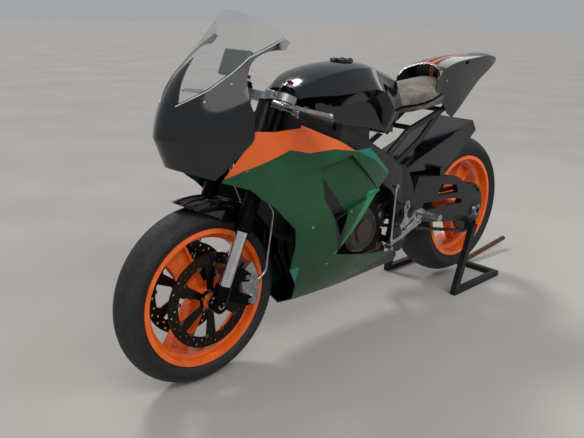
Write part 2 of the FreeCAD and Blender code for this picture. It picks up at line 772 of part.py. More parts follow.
def subframe():
    """Two bent rails and two struts under the seat, with cross tubes."""
    rail = [(-800, 104, 668), (-930, 98, 752), (-1180, 80, 812), (-1330, 56, 872)]
    strut = [(-850, 104, 628), (-1010, 98, 706), (-1165, 81, 808)]
    tubes = [rider_tube(path, side, S.subframe_tube) for side in (1, -1) for path in (rail, strut)]
    crosses = [rod((x, -y, z), (x, y, z), S.subframe_tube - 2) for x, y, z in (
        (-960, 96, 760), (-1180, 80, 812), (-1322, 58, 868))]
    feet = [rod((x, side * 92, z), (x, side * 118, z), 15) for side in (1, -1) for x, z in (
        (-804, 670), (-852, 630))]
    return fuse(*tubes, *crosses, *feet).cut(frame_shape)


solid_node("subframe", subframe())


# Chain: one fixed loop round both sprockets, two rows of link plates on a core of rollers.
def chain_band(outer, inner, y_from, y_to):
    """The band between two offsets of the pitch line, from one y to another."""
    front = Vector(S.output_shaft_x, 0, S.output_shaft_z)
    front_radius = pitch_circle(S.front_teeth)
    rear_radius = pitch_circle(S.rear_teeth)
    run = rear_axle - front
    along = Vector(run).normalize()
    lean = math.asin((rear_radius - front_radius) / run.Length)
    up = Vector(along.z, 0, -along.x)

    def loop(grow):
        def at(centre, radius, sign):
            direction = along * (-math.sin(lean)) + up * (sign * math.cos(lean))
            return centre + direction * (radius + grow)

        top_front = at(front, front_radius, 1)
        top_rear = at(rear_axle, rear_radius, 1)
        low_rear = at(rear_axle, rear_radius, -1)
        low_front = at(front, front_radius, -1)
        wire = Part.Wire([
            Part.LineSegment(top_front, top_rear).toShape(),
            Part.Arc(top_rear, rear_axle + along * (rear_radius + grow), low_rear).toShape(),
            Part.LineSegment(low_rear, low_front).toShape(),
            Part.Arc(low_front, front - along * (front_radius + grow), top_front).toShape(),
        ])
        return Part.Face(wire)

    face = loop(outer).cut(loop(inner)) if inner is not None else loop(outer)
    band = face.extrude(Vector(0, y_to - y_from, 0))
    return Part.makeCompound([band.translated(Vector(0, y_from, 0))])


def chain_room():
    """Recess in the gearbox where the chain and front sprocket run."""
    y = S.chain_plane - S.chain_width / 2 - S.pad_gap
    return chain_band(S.chain_height / 2 + S.pad_gap, None, y, y + 3 * S.chain_width)


def chain():
    half = S.chain_height / 2
    y = S.chain_plane
    outer = S.chain_width / 2
    gap = S.sprocket_thick / 2 + 1.5
    left = chain_band(half, -half, y + gap, y + outer)
    right = chain_band(half, -half, y - outer, y - gap)
    core = chain_band(half * 0.7, half * 0.1, y - gap, y + gap)
    return fuse(left, right, core)


# Engine: crankcase, cylinder block and head as one plain block, with its two side covers.
def engine_block():
    """Gearbox behind, crankcase across the middle, sump below and leaning cylinders in front."""
    gearbox = prism([(-620, 330), (-800, 330), (-806, 520), (-700, 560), (-620, 560)], "XZ", -108, 108)
    crankcase = prism([(-452, 330), (-716, 330), (-735, 430), (-690, 540), (-440, 470)], "XZ", -150, 150)
    sump = prism([(-480, 332), (-500, 244), (-740, 244), (-760, 332)], "XZ", -66, 66)
    cylinders = prism([(-640, 530), (-444, 460), (-396, 600), (-410, 640), (-560, 700), (-612, 640)], "XZ",
                      -146, 146)
    rear_lug = prism([(-700, 520), (-806, 500), (-820, 522), (-812, 552), (-790, 560), (-720, 552)], "XZ",
                     -S.pivot_plate_in - 4, S.pivot_plate_in + 4)
    front_lug = rod((-560, -170, 676), (-560, 170, 676), 16)
    block = fuse(gearbox, crankcase, sump, cylinders, rear_lug, front_lug)
    return largest(block.cut(frame_shape).cut(chain_room()))


engine_shape = engine_block()
solid_node("engine", engine_shape)


def turned_cover(x, z, radius, side, depth, base):
    """Round side cover with a stepped, domed face, standing on the crankcase side."""
    start = side * base
    cover = fuse(
        rod((x, start, z), (x, start + side * depth * 0.6, z), radius),
        Part.makeCone(
            radius, radius * 0.82, depth * 0.4, Vector(x, start + side * depth * 0.6, z), Vector(0, side, 0)
        ),
        rod((x, start + side * depth, z), (x, start + side * (depth + 6), z), radius * 0.5),
    )
    return cover.cut(frame_shape)


covers = [turned_cover(-586, 442, 84, 1, 44, 150), turned_cover(-606, 452, 86, -1, 40, 150)]
solid_node("engine_covers", Part.makeCompound(covers))


# Swingarm: pivot block between the frame plates, two windowed arms and an upper brace in one outline.
def from_axle(u, v):
    """A point of the side view, from the rear axle."""
    return (rear_axle.x + u, rear_axle.z + v)


ARM = [
    (-930, 500), (-960, 575), (-1215, 540), (-1240, 532), from_axle(-21, 77),
    from_axle(-48, 40) + from_axle(-46, -15), from_axle(-26, -41) + from_axle(0, -43), (-1180, 344),
    (-940, 392),
]
ARM_WINDOW = [(-1108, 492), (-1118, 520), (-1240, 496), (-1252, 462), (-1112, 468)]
CHAIN_SLOT = [(-1000, 436), (-1010, 458), (-1235, 440), (-1290, 424), (-1290, 408), (-1010, 424)]


def swingarm():
    arm = prism(ARM, "XZ", S.swingarm_in, S.swingarm_out)
    for window in (ARM_WINDOW, CHAIN_SLOT):
        arm = arm.cut(prism(window, "XZ", S.swingarm_in - 1, S.swingarm_out + 1))
    pivot_tube = rod((S.pivot_x, -116, S.pivot_z), (S.pivot_x, 116, S.pivot_z), 27)
    block = box(-1010, -890, -116, 92, 392, 462)
    block = block.cut(box(-985, -915, -46, 46, 380, 480))
    neck = box(-900, S.pivot_x, -116, 92, 425, 465)
    bridge = box(-1010, -940, -S.swingarm_in - 1, S.swingarm_in + 1, 506, 536)
    side_left = box(-1000, -935, 90, S.swingarm_in + 1, 396, 455)
    side_right = box(-1000, -935, -S.swingarm_in - 1, -114, 396, 455)
    riser = box(-1010, -985, -116, 92, 440, 520)
    body = fuse(*both_sides(arm), pivot_tube, block, neck, bridge, side_left, side_right, riser)
    boss = [rod((spool_x, side * S.swingarm_in, spool_z + 12), (spool_x, side * S.swingarm_out,
            spool_z + 12), 20) for side in (1, -1)]
    body = fuse(body, *boss)
    axle = rod((rear_axle.x, -200, rear_axle.z), (rear_axle.x, 200, rear_axle.z), S.axle_radius)
    pivot = rod((S.pivot_x, -200, S.pivot_z), (S.pivot_x, 200, S.pivot_z), S.pivot_radius)
    return body.cut(axle).cut(pivot).cut(frame_shape)


swingarm_shape = swingarm()
solid_node("swingarm", swingarm_shape)


def rear_axle_set():
    """Hollow axle with its nuts, spacers to the hub, chain adjuster blocks and the stand spools."""
    x, z = rear_axle.x, rear_axle.z
    reach = S.swingarm_out + 16
    shaft = rod((x, -reach, z), (x, reach, z), S.axle_radius)
    pieces = [shaft]
    for side in (1, -1):
        inner = S.head_gap + (rear_hub_left if side > 0 else -rear_hub_right)
        pieces.append(rod((x, side * inner, z), (x, side * S.swingarm_in, z), 19))
        pieces.append(rod((x, side * S.swingarm_out, z), (x, side * (S.swingarm_out + 12), z), 22))
        pieces.append(box(x - 34, x + 30, side * S.swingarm_out, side * (S.swingarm_out + 5), z - 20, z + 20))
    bore = rod((x, -reach, z), (x, reach, z), S.axle_bore)
    return fuse(*pieces).cut(bore)


solid_node("rear_axle", rear_axle_set())


def spool(side):
    """Bobbin on the swingarm that the stand lifts."""
    x, z = spool_x, spool_z
    start = side * S.swingarm_out
    end = start + side * S.spool_length
    bobbin = rod((x, start, z), (x, end, z), S.spool_radius)
    flange = rod((x, end - side * 4, z), (x, end, z), S.spool_radius + 7)
    collar = rod((x, start, z), (x, start + side * 4, z), S.spool_radius + 7)
    return fuse(bobbin, flange, collar)


pair_node("stand_spools", spool, "chassis")


def front_sprocket():
    x, z = S.output_shaft_x, S.output_shaft_z
    tip = pitch_circle(S.front_teeth) - S.seam
    y = S.chain_plane
    disc = rod((x, y - S.sprocket_thick / 2, z), (x, y + S.sprocket_thick / 2, z), tip)
    shaft = rod((x, y - S.chain_width / 2 - S.pad_gap, z), (x, y + 8, z), 14)
    return fuse(disc, shaft).cut(engine_shape)


solid_node("chain", chain())
solid_node("front_sprocket", front_sprocket())


# Nose and screen: one bubble form, drawn as plan curves at a few heights, creased where its chin begins.
# z, front x on the centre line, rear x and half width at the rear edge.
CHIN = [(690, 84, -60, 166), (822, 136, -60, 203)]
NOSE = [
    (822, 136, -60, 203), (900, 117, -62, 202), (960, 86, -76, 198), (1030, 27, -140, 188),
    (1110, -57, -226, 176), (1192, -132, -300, 150),
]


def plan_curve(z, front, rear, half, wall):
    """One height of the nose: a round prow whose two sides run on, tangent, as an arc along each flank."""
    front -= wall
    half -= wall
    rear -= wall
    turn = math.radians(S.prow_angle)
    radius = S.prow_radius - wall
    shoulder = Vector(front - radius * (1 - math.cos(turn)), radius * math.sin(turn), z)
    heading = Vector(-math.sin(turn), math.cos(turn), 0)
    end = Vector(rear, half, z)
    chord = end - shoulder
    along = Vector(chord).normalize()
    outward = heading - along * heading.dot(along)
    rise = chord.Length / 2 * math.tan(heading.getAngle(chord) / 2)
    bow = shoulder + chord / 2 + outward.normalize() * rise

    def mirrored(point):
        return Vector(point.x, -point.y, point.z)

    return Part.Wire([
        Part.LineSegment(mirrored(end), end).toShape(),
        Part.Arc(end, bow, shoulder).toShape(),
        Part.Arc(shoulder, Vector(front, 0, z), mirrored(shoulder)).toShape(),
        Part.Arc(mirrored(shoulder), mirrored(bow), mirrored(end)).toShape(),
    ])


def nose_form(wall):
    """The bubble inside a wall; an inner form runs past the outer one above, below and behind."""
    chin = [list(station) for station in CHIN]
    bubble = [list(station) for station in NOSE]
    chin[0][0] -= wall
    bubble[-1][0] += wall
    lofts = [loft([plan_curve(*station, wall) for station in stations]) for stations in (chin, bubble)]
    return fuse(*lofts)


nose_outer = nose_form(0)
nose_inner = nose_form(S.panel_wall)
nose_shell = nose_outer.cut(nose_inner)
screen_shell = nose_outer.cut(nose_form(S.screen_wall))
# Side view of the seam between the nose and the side panels, from its low front point up.
NOSE_SEAM = [(18, 707), (-11, 758), (-75, 853)]
# Side view of the line between the nose and the screen, front to back.
SCREEN_LINE = [(110, 914), (27, 971), (-36, 1017), (-94, 1060), (-204, 1112)]
NOSE_SIDE = (
    [(150, 754), (108, 737)] + [(x + S.seam, z + S.seam) for x, z in NOSE_SEAM]
    + [(-56, 930), (-70, 1012, -208, 1076), (-222, 1100)]
    + SCREEN_LINE[::-1] + [(150, 930)]
)
SCREEN_SIDE = SCREEN_LINE + [(-204, 1124), (-176, 1152), (-128, 1189), (160, 1189), (160, 930)]
RIDGE = [(-46, 922), (0, 1052), (46, 922), (46, 900), (-46, 900)]
ridge = prism(RIDGE, "YZ", -20, 200)
nose_panel = nose_shell.common(fuse(prism(NOSE_SIDE, "XZ", -260, 260), ridge))
solid_node("fairing_nose", nose_panel)
screen = screen_shell.common(prism(SCREEN_SIDE, "XZ", -260, 260)).cut(ridge)
solid_node("windscreen", screen.cut(nose_panel))


# Side panels and belly: one shell lofted through sections across the motorcycle. A section rises from
# the keel to the chine, then swells in one arc to its widest line and turns in again in another.
KEEL_Z = 162
CHINE_Z = 212
PANEL_TOP_Z = 880
# x, y of the chine, y and z of the widest line, y at the top, and how deep the vent's plate is sunk.
PANEL = [
    (70, 30, 90, 765, 80, 10),
    (-60, 62, 197, 778, 186, 30),
    (-200, 78, 224, 745, 176, 38),
    (-340, 92, 239, 710, 166, 34),
    (-480, 100, 245, 695, 158, 16),
    (-620, 99, 236, 690, 150, 1),
    (-940, 84, 190, 700, 138, 1),
]


def upright_arc(x, y, z, wide, wide_z):
    """Arc from a point to the widest line, which it meets upright."""
    rise = z - wide_z
    depth = wide - y
    radius = (depth * depth + rise * rise) / (2 * depth)
    middle_y = wide - radius + math.sqrt(radius * radius - rise * rise / 4)
    return Part.Arc(Vector(x, y, z), Vector(x, middle_y, wide_z + rise / 2), Vector(x, wide, wide_z))


def panel_wire(x, chine, wide, wide_z, top, wall):
    """Section of the form inside a wall; an inner form runs past the outer one at its top."""
    chine -= wall
    wide -= wall
    top -= wall
    keel = Vector(x, 0, KEEL_Z + wall)
    crown = Vector(x, 0, PANEL_TOP_Z + wall)
    chine_z = CHINE_Z + wall / 2
    chine_point = Vector(x, chine, chine_z)
    top_point = Vector(x, top, PANEL_TOP_Z + wall)
    return Part.Wire([
        Part.LineSegment(keel, chine_point).toShape(),
        upright_arc(x, chine, chine_z, wide, wide_z).toShape(),
        upright_arc(x, top, PANEL_TOP_Z + wall, wide, wide_z).toShape(),
        Part.LineSegment(top_point, crown).toShape(),
        Part.LineSegment(crown, keel).toShape(),
    ])


def panel_form(wall, sunk=0):
    """The whole form inside a wall, sunk by a share of the plate's depth at each section."""
    stations = [list(station) for station in PANEL]
    stations[0][0] += wall
    stations[-1][0] -= wall
    return loft([panel_wire(*station[:5], wall + sunk * station[5]) for station in stations])


panel_outer = panel_form(0)
panel_inner = panel_form(S.panel_wall)
panel_shell = panel_outer.cut(panel_inner)
SIDE_OUTLINE = NOSE_SEAM + [
    (-146, 846), (-253, 846), (-262, 854), (-330, 824), (-406, 792), (-470, 755), (-545, 756),
    (-662, 655), (-604, 604), (-456, 400), (-450, 384), (-257, 366), (-250, 465), (-236, 523),
    (-143, 614), (-96, 647), (-58, 682),
]
# Side view of the vent: its sunk area, the slot through its foot and the plate that floors it.
RECESS = [(-309, 721), (-450, 745), (-608, 598), (-457, 553), (-399, 528), (-334, 612)]
VENT_SLOT = [(-399, 529), (-443, 458), (-458, 554)]
VENT_PLATE = [(-292, 716), (-450, 745), (-608, 598), (-470, 556), (-408, 538), (-318, 606)]
VENT_FRONT = [(-270, 724), (-309, 721), (-334, 612), (-399, 528), (-412, 500), (-270, 500)]
BELLY_OUTLINE = [
    (-257, 365.7), (-450, 383.7), (-560, 352), (-900, 268), (-920, 240), (-905, 100), (-330, 100),
    (-352, 165), (-312, 290),
]


def vent():
    """The vent's inside: a plate that sinks toward the front and a wall round its top and rear."""
    floor_outer = panel_form(0, 1)
    floor_inner = panel_form(S.panel_wall, 1)
    plate = floor_outer.cut(floor_inner).common(prism(VENT_PLATE, "XZ", 0, 300))
    grown = Part.Face(Part.makePolygon([Vector(x, 0, z) for x, z in RECESS + RECESS[:1]]))
    grown = grown.makeOffset2D(S.panel_wall, 2).extrude(Vector(0, 300, 0))
    wall = grown.cut(prism(RECESS, "XZ", -1, 301)).cut(prism(VENT_FRONT, "XZ", -1, 301))
    return [plate, panel_outer.cut(floor_inner).common(wall)]


def side_panel(side):
    panel = panel_shell.common(prism(SIDE_OUTLINE, "XZ", 0, 300))
    panel = panel.cut(prism(RECESS, "XZ", 0, 300)).cut(prism(VENT_SLOT, "XZ", 0, 300))
    panel = fuse(panel, *vent()).cut(nose_panel)
    return panel if side > 0 else panel.mirror(Vector(), Vector(0, 1, 0))


def belly_panel(side):
    panel = panel_shell.common(prism(BELLY_OUTLINE, "XZ", 0.15, 300))
    return panel if side > 0 else panel.mirror(Vector(), Vector(0, 1, 0))


for name, side in (("left", 1), ("right", -1)):
    solid_node(f"fairing_side_{name}", side_panel(side))
    solid_node(f"belly_{name}", belly_panel(side))


# Fuel tank: rounded sections along the motorcycle.
def tank_section(x, low, high, low_half, mid_half, top_half):
    """Flat base, bulging flanks and an arched top."""
    def point(y, z):
        return Vector(x, y, z)

    waist = low + (high - low) * 0.36
    edge = high - (high - low) * 0.13
    return Part.Wire([
        Part.LineSegment(point(-low_half, low), point(low_half, low)).toShape(),
        Part.LineSegment(point(low_half, low), point(mid_half, waist)).toShape(),
        Part.LineSegment(point(mid_half, waist), point(top_half, edge)).toShape(),
        Part.Arc(point(top_half, edge), point(0, high), point(-top_half, edge)).toShape(),
        Part.LineSegment(point(-top_half, edge), point(-mid_half, waist)).toShape(),
        Part.LineSegment(point(-mid_half, waist), point(-low_half, low)).toShape(),
    ])


# x, low z, high z, half width low, at the waist and at the top edge.
TANK = [
    (-352, 900, 944, 58, 86, 52),
    (-440, 890, 992, 104, 150, 94),
    (-560, 886, 1018, 116, 170, 106),
    (-700, 862, 1016, 112, 168, 104),
    (-806, 752, 988, 98, 142, 90),
    (-872, 790, 962, 72, 104, 74),
    (-898, 836, 938, 56, 82, 60),
]


def tank():
    upper = loft([tank_section(*station) for station in TANK])
    lower = prism([(-400, 838), (-400, 900), (-820, 900), (-820, 760), (-690, 790)], "XZ", -112, 112)
    cap = ring((-640, 0, 1008), (-640, 0, 1028), 42, 30)
    cap_core = rod((-640, 0, 1008), (-640, 0, 1024), 30)
    return fuse(upper, lower, cap, cap_core).cut(frame_shape)


tank_shape = tank()
solid_node("fuel_tank", tank_shape)
airbox = prism([(-410, 706), (-410, 837.7), (-690, 789.7), (-690, 700)], "XZ", -108, 108)
solid_node("airbox", airbox.cut(engine_shape).cut(frame_shape).cut(tank_shape))


# Seat pan, tail cowl and seat pad, lofted front to back.
def tail_section(x, low, high, low_half, high_half, crown, wall=0):
    """Straight sides under an arched top, inside a wall that an inner form leaves open below."""
    low -= wall
    high -= wall
    low_half -= wall
    high_half -= wall

    def point(y, z):
        return Vector(x, y, z)

    edge = high - crown
    return Part.Wire([
        Part.LineSegment(point(-low_half, low), point(low_half, low)).toShape(),
        Part.LineSegment(point(low_half, low), point(high_half, edge)).toShape(),
        Part.Arc(point(high_half, edge), point(0, high), point(-high_half, edge)).toShape(),
        Part.LineSegment(point(-high_half, edge), point(-low_half, low)).toShape(),
    ])


# x, low z, high z, half width low and high, rise of the arched top.
PAN = [
    (-862, 826, 852, 88, 98, 8), (-960, 828, 860, 106, 124, 10), (-1080, 838, 880, 108, 120, 12),
    (-1200, 846, 906, 96, 98, 12), (-1330, 862, 912, 82, 80, 12),
]
HUMP = [
    (-1080, 770, 956, 112, 106, 16), (-1229, 770, 1010, 101, 84, 16), (-1353, 770, 1022, 85, 70, 14),
    (-1498, 770, 1026, 52, 53, 12), (-1601, 770, 1022, 33, 37, 10), (-1682, 770, 1000, 13, 14, 5),
]
PAD = [
    (-866, 848, 866, 84, 88, 10), (-930, 852, 900, 114, 108, 26), (-1055, 868, 931, 122, 108, 30),
    (-1150, 884, 940, 96, 84, 26), (-1212, 896, 938, 80, 68, 20),
]
# Side view of the cowl: raked front edge over the seat, lower edge rising to the tip.
COWL_SIDE = [
    (-1084, 866), (-1102, 938), (-1184, 1008), (-1200, 1060), (-1700, 1060), (-1700, 1000),
    (-1676, 988), (-1498, 921), (-1353, 847), (-1229, 779), (-1194, 796), (-1140, 852),
]


def tail():
    """Thin cowl open below and at its front, fused to the pan that runs back inside it."""
    pan = loft([tail_section(*station) for station in PAN])
    outer = loft([tail_section(*station) for station in HUMP])
    inner_stations = [list(station) for station in HUMP]
    inner_stations[0][0] += S.panel_wall
    inner_stations[-1][0] += S.panel_wall
    inner = loft([tail_section(*station, S.panel_wall) for station in inner_stations])
    cowl = outer.cut(inner).common(prism(COWL_SIDE, "XZ", -150, 150))
    slot = prism([(-1330, 988), (-1340, 1000), (-1368, 1000), (-1358, 988)], "XZ", -150, 150)
    pan = pan.common(fuse(outer, box(-1140, -800, -200, 200, 780, 1000)))
    return fuse(pan, cowl.cut(slot)).cut(subframe()).cut(tank_shape)


tail_shape = tail()
solid_node("tail_cowl", tail_shape)
seat = loft([tail_section(*station) for station in PAD])
solid_node("seat_pad", largest(seat.cut(tail_shape).cut(tank_shape)))


# Hugger over the rear tyre.
def hugger():
    wall = S.hugger_wall
    half = S.rear_tyre_width / 2 + S.hugger_gap + wall
    side_view = [
        (-960, 584), (-942, 600), (-1010, 628), from_axle(14, 397), from_axle(-20, 351), from_axle(18, 321),
        from_axle(104, 255), (-1225, 566),
    ]
    inner_view = [
        (-970, 500), (-970, 600), (-1010, 622), from_axle(16, 390), from_axle(-96, 365), (-1500, 500),
    ]
    skin = prism(side_view, "XZ", -half, half).cut(prism(inner_view, "XZ", -half + wall, half - wall))
    tyre_room = rod((rear_axle.x, -half + wall, rear_axle.z), (rear_axle.x, half - wall, rear_axle.z),
                    S.rear_wheel_radius + S.hugger_gap)
    tabs = [box(-1150, -1120, side * (half - wall), side * (S.swingarm_in + 14), 546, 586)
            for side in (1, -1)]
    return fuse(skin.cut(tyre_room), *tabs).cut(swingarm_shape)


solid_node("hugger", hugger())


# Radiator, exhaust and shock absorber.
radiator_half = S.radiator_width / 2
radiator = prism([(-340, 420), (-340 - S.radiator_thick, 424), (-308 - S.radiator_thick, 704), (-308, 700)],
                 "XZ", -radiator_half, radiator_half)
radiator_hangers = [rod((-322, side * 78, 690), (-352, side * 78, 800), 7) for side in (1, -1)]
radiator_feet = [rod((-352, side * 56, 446), (-470, side * 56, 446), 7) for side in (1, -1)]
radiator = fuse(radiator, *radiator_hangers, *radiator_feet)
solid_node("radiator", radiator.cut(engine_shape).cut(frame_shape))


def header_pipes():
    """Four header pipes, a collector under the engine and a link pipe to the silencer."""
    pipes = []
    for y in (-108, -36, 36, 108):
        pipes.append(bent_tube(
            [(-416, y, 604), (-388, y, 574), (-396, y * 0.8, 350), (-436, y * 0.55, 238),
             (-600, y * 0.3, 230)],
            S.header_radius, 24,
        ))
    collector = rod((-590, 0, 230), (-700, 0, 226), 30)
    route = [(-690, 0, 226), (-900, 0, 214), (-1010, -60, 206), (-1040, -168, 240), (-1100, -196, 280)]
    link = bent_tube(route, 24, 40)
    return fuse(*pipes, collector, link).cut(engine_shape)


def silencer():
    start = Vector(-1080, -190, 268)
    end = Vector(-1370, -226, 430)
    along = (end - start).normalize()
    can = rod(start + along * 24, end, S.silencer_radius)
    cone = Part.makeCone(30, S.silencer_radius, 24, start, along)
    tip = ring(end, end + along * 18, 30, 24)
    return fuse(can, cone, tip)


solid_node("exhaust", fuse(header_pipes(), silencer()))


def shock():
    """Damper body inside a coil spring, drawn as one turned profile with a bead for each coil."""
    low = Vector(-952, 0, 372)
    high = Vector(-868, 0, 590)
    along = (high - low).normalize()
    length = (high - low).Length
    spring_low, spring_high, coils = 56, 192, 8
    pitch = (spring_high - spring_low) / coils
    path = [(0, 0), (16, 0), (16, 44), (34, 44), (34, 52), (23, spring_low)]
    for coil in range(coils):
        start = spring_low + coil * pitch
        path.append((31, start + pitch / 2, 23, start + pitch))
    path += [(34, spring_high + 4), (34, spring_high + 10), (20, spring_high + 10), (20, length), (0, length)]
    wire = Part.Wire([edge.toShape() for edge in edges_of(path, lambda r, z: Vector(r, 0, z))])
    turned = Part.Face(wire).revolve(Vector(), Vector(0, 0, 1), 360)
    turned.Placement = Placement(low, Rotation(Vector(0, 0, 1), along))
    return Part.makeCompound([turned])


solid_node("rear_shock", shock().cut(swingarm_shape).cut(frame_shape).cut(subframe()))


# Rider's controls behind the engine.
def slotted_plate(path, holes, side, low, high):
    plate = prism([(u, w) for u, w in path], "XZ", side * low, side * high)
    for x, z, radius in holes:
        plate = plate.cut(rod((x, side * low - side, z), (x, side * high + side, z), radius))
    return plate


# Side view of the bracket; its notch leaves the open end of the swingarm pivot free.
REARSET = [
    (-858, 505), (-838, 505), (-828, 480), (-836, 440), (-812, 410), (-822, 388), (-872, 392), (-900, 402),
    (-962, 424), (-966, 446), (-940, 458), (-902, 454), (-886, 436), (-868, 428), (-852, 440), (-851, 458),
    (-868, 478),
]


def footrest(side):
    """Bracket plate on two spacers, with the peg and its heel end."""
    plate = slotted_plate(REARSET, [(-850, 478, 6), (-915, 434, 7)], side, 178, 186)
    spacers = [rod((x, side * S.pivot_plate_out, z), (x, side * 178, z), 9)
               for x, z in ((-846, 492), (-838, 400))]
    peg = rod((-948, side * 178, 436), (-948, side * 268, 436), 11)
    end = rod((-948, side * 268, 436), (-948, side * 272, 436), 14)
    return fuse(plate, *spacers, peg, end)


def pedal(side, toe_x, toe_z):
    """Foot lever on the bracket: a cranked arm with a toe peg."""
    arm = slotted_plate(
        [(-930, 420), (-912, 398), (-800, 362), (toe_x, toe_z - 7), (toe_x + 6, toe_z + 7), (-796, 376),
         (-902, 424)],
        [], side, 190, 198,
    )
    hub = rod((-916, side * 186, 413), (-916, side * 200, 413), 12)
    toe = rod((toe_x, side * 198, toe_z), (toe_x, side * 226, toe_z), 8)
    return fuse(arm, hub, toe)


def shift_rod():
    """Long adjustable rod from the gear lever up to the shift shaft, with its knuckles."""
    low = Vector(-735, 205, 366)
    high = Vector(-745, 205, 585)
    along = (high - low).normalize()
    bar = rod(low, high, 4)
    ends = [rod(low - along * 6, low + along * 22, 6), rod(high - along * 22, high + along * 6, 6)]
    eye = rod((-735, 198, 366), (-735, 212, 366), 9)
    arm = rod((-745, 192, 585), (-745, 212, 585), 9)
    return fuse(bar, *ends, eye, arm)


left_controls = fuse(footrest(1), pedal(1, -718, 352), shift_rod())
right_controls = fuse(footrest(-1), pedal(-1, -724, 350))
solid_node("rearset_left", left_controls.cut(frame_shape))
solid_node("rearset_right", right_controls.cut(frame_shape))


def rear_caliper():
    """Small caliper over the rear disc, ahead of the axle, on a stub from the swingarm's inner face."""
    block = caliper(-S.rear_disc_plane, S.rear_disc_radius, 335, 46, rear_axle.x, rear_axle.z)
    x, z = from_axle(94, -9)
    stub = rod((x, -S.rear_disc_plane - 18, z), (x, -S.swingarm_in - 4, z), 13)
    return fuse(block, stub)


solid_node("rear_caliper", rear_caliper().cut(swingarm_shape))


# Paddock stand: two posts under the spools, floor tubes, a cross tube and the lever tube behind.
def paddock_stand():
    tube = S.stand_tube
    half = S.stand_half_width
    foot_x = spool_x + 96
    heel_x = rear_axle.x - 171
    pieces = []
    for side in (1, -1):
        y = side * half
        low = y - tube / 2
        high = y + tube / 2
        post = [
            (spool_x - 15, spool_z - 8), (spool_x + 15, spool_z - 2), (foot_x + 15, tube),
            (foot_x + 15, 0), (foot_x - 15, 0), (foot_x - 15, tube),
        ]
        pieces.append(prism(post, "XZ", low, high))
        pieces.append(box(heel_x, foot_x, low, high, 0, tube))
        cradle = box(spool_x - 20, spool_x + 20, side * (S.swingarm_out + 6), y, spool_z - 30,
                     spool_z + 2)
        notch = rod((spool_x, side * S.swingarm_out, spool_z), (spool_x, side * (half + tube),
                    spool_z), S.spool_radius + S.seam)
        relief = rod((spool_x, side * (S.swingarm_out + S.spool_length - 5), spool_z),
                     (spool_x, side * (half + tube), spool_z), S.spool_radius + 8)
        pieces.append(cradle.cut(notch).cut(relief))
    pieces.append(box(heel_x - tube, heel_x, -half - tube / 2, half + tube / 2, 0, tube))
    handle_start = Vector(heel_x - tube, 0, tube / 2)
    handle_rise = 37
    lean = math.atan2(handle_rise, handle_start.x + stand_end)
    handle_end = Vector(S.handle_radius * math.sin(lean) - stand_end, 0, tube / 2 + handle_rise)
    pieces.append(rod(handle_start, handle_end, S.handle_radius))
    stand = fuse(*pieces)
    relief = [rod((spool_x, side * (S.swingarm_out + S.spool_length - 5), spool_z),
                  (spool_x, side * (half + tube), spool_z), S.spool_radius + 8) for side in (1, -1)]
    return stand.cut(Part.makeCompound(relief))


solid_node("paddock_stand", paddock_stand())


# Stay that carries the nose, with the instrument box behind the screen.
def fairing_stay():
    head_front = steering_point(S.head_radius - 4, 0, 582)
    ahead = steering_point(226, 0, 545)
    arm = rod(head_front, ahead, 13)
    cross = rod((ahead.x, -230, ahead.z), (ahead.x, 230, ahead.z), 9)
    upright = rod(steering_point(170, 0, 554), steering_point(174, 0, 696), 10)
    inside = cross.common(nose_form(S.panel_wall + S.seam))
    return fuse(arm, upright, inside).cut(frame_shape)


def dash():
    """Instrument box on top of the stay, leaning back to the rider."""
    corners = [steering_point(x, 0, z) for x, z in ((164, 692), (188, 690), (190, 774), (172, 774))]
    box_shape = prism([(corner.x, corner.z) for corner in corners], "XZ", -62, 62)
    return box_shape.makeFillet(6, box_shape.Edges)


solid_node("fairing_stay", fuse(fairing_stay(), dash()))


# Every feature has to hold, and every sub-part is a closed solid, before anything is written.
doc.recompute()
for item in doc.Objects:
    if "Invalid" in item.State or "Error" in item.State:
        raise RuntimeError(f"{item.Name} failed: {item.State}")
os.makedirs("parts", exist_ok=True)
for item in nodes:
    if item.Shape.isNull() or not item.Shape.isValid() or not item.Shape.Solids:
        raise RuntimeError(f"{item.Label} is not a valid solid")
    item.Shape.exportStep(f"parts/{item.Label}.step")
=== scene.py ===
"""Race-trimmed sport motorcycle on its rear stand: finishes, small parts, light and camera."""
import math

import bmesh
import bpy
from mathutils import Matrix, Vector, noise


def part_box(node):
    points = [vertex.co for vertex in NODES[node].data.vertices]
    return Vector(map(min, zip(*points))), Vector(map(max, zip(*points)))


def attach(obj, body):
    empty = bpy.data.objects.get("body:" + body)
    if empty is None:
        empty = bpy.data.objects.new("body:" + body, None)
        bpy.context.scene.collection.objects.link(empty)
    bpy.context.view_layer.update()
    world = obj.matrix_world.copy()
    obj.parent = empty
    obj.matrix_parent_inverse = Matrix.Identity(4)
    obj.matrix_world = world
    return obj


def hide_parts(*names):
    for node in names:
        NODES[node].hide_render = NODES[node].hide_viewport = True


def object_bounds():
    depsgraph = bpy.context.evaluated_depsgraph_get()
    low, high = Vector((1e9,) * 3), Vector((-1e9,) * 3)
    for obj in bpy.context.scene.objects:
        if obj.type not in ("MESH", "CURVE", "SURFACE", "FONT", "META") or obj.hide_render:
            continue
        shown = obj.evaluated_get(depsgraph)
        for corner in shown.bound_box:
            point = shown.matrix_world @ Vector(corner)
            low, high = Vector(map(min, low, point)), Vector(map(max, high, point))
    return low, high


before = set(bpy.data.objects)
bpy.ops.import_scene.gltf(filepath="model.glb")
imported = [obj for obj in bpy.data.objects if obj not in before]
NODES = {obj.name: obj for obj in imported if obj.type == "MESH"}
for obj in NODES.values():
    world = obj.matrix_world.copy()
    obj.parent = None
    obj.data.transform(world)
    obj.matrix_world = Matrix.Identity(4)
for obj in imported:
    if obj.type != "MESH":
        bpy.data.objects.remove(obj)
cad_low, cad_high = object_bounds()

MM = 0.001
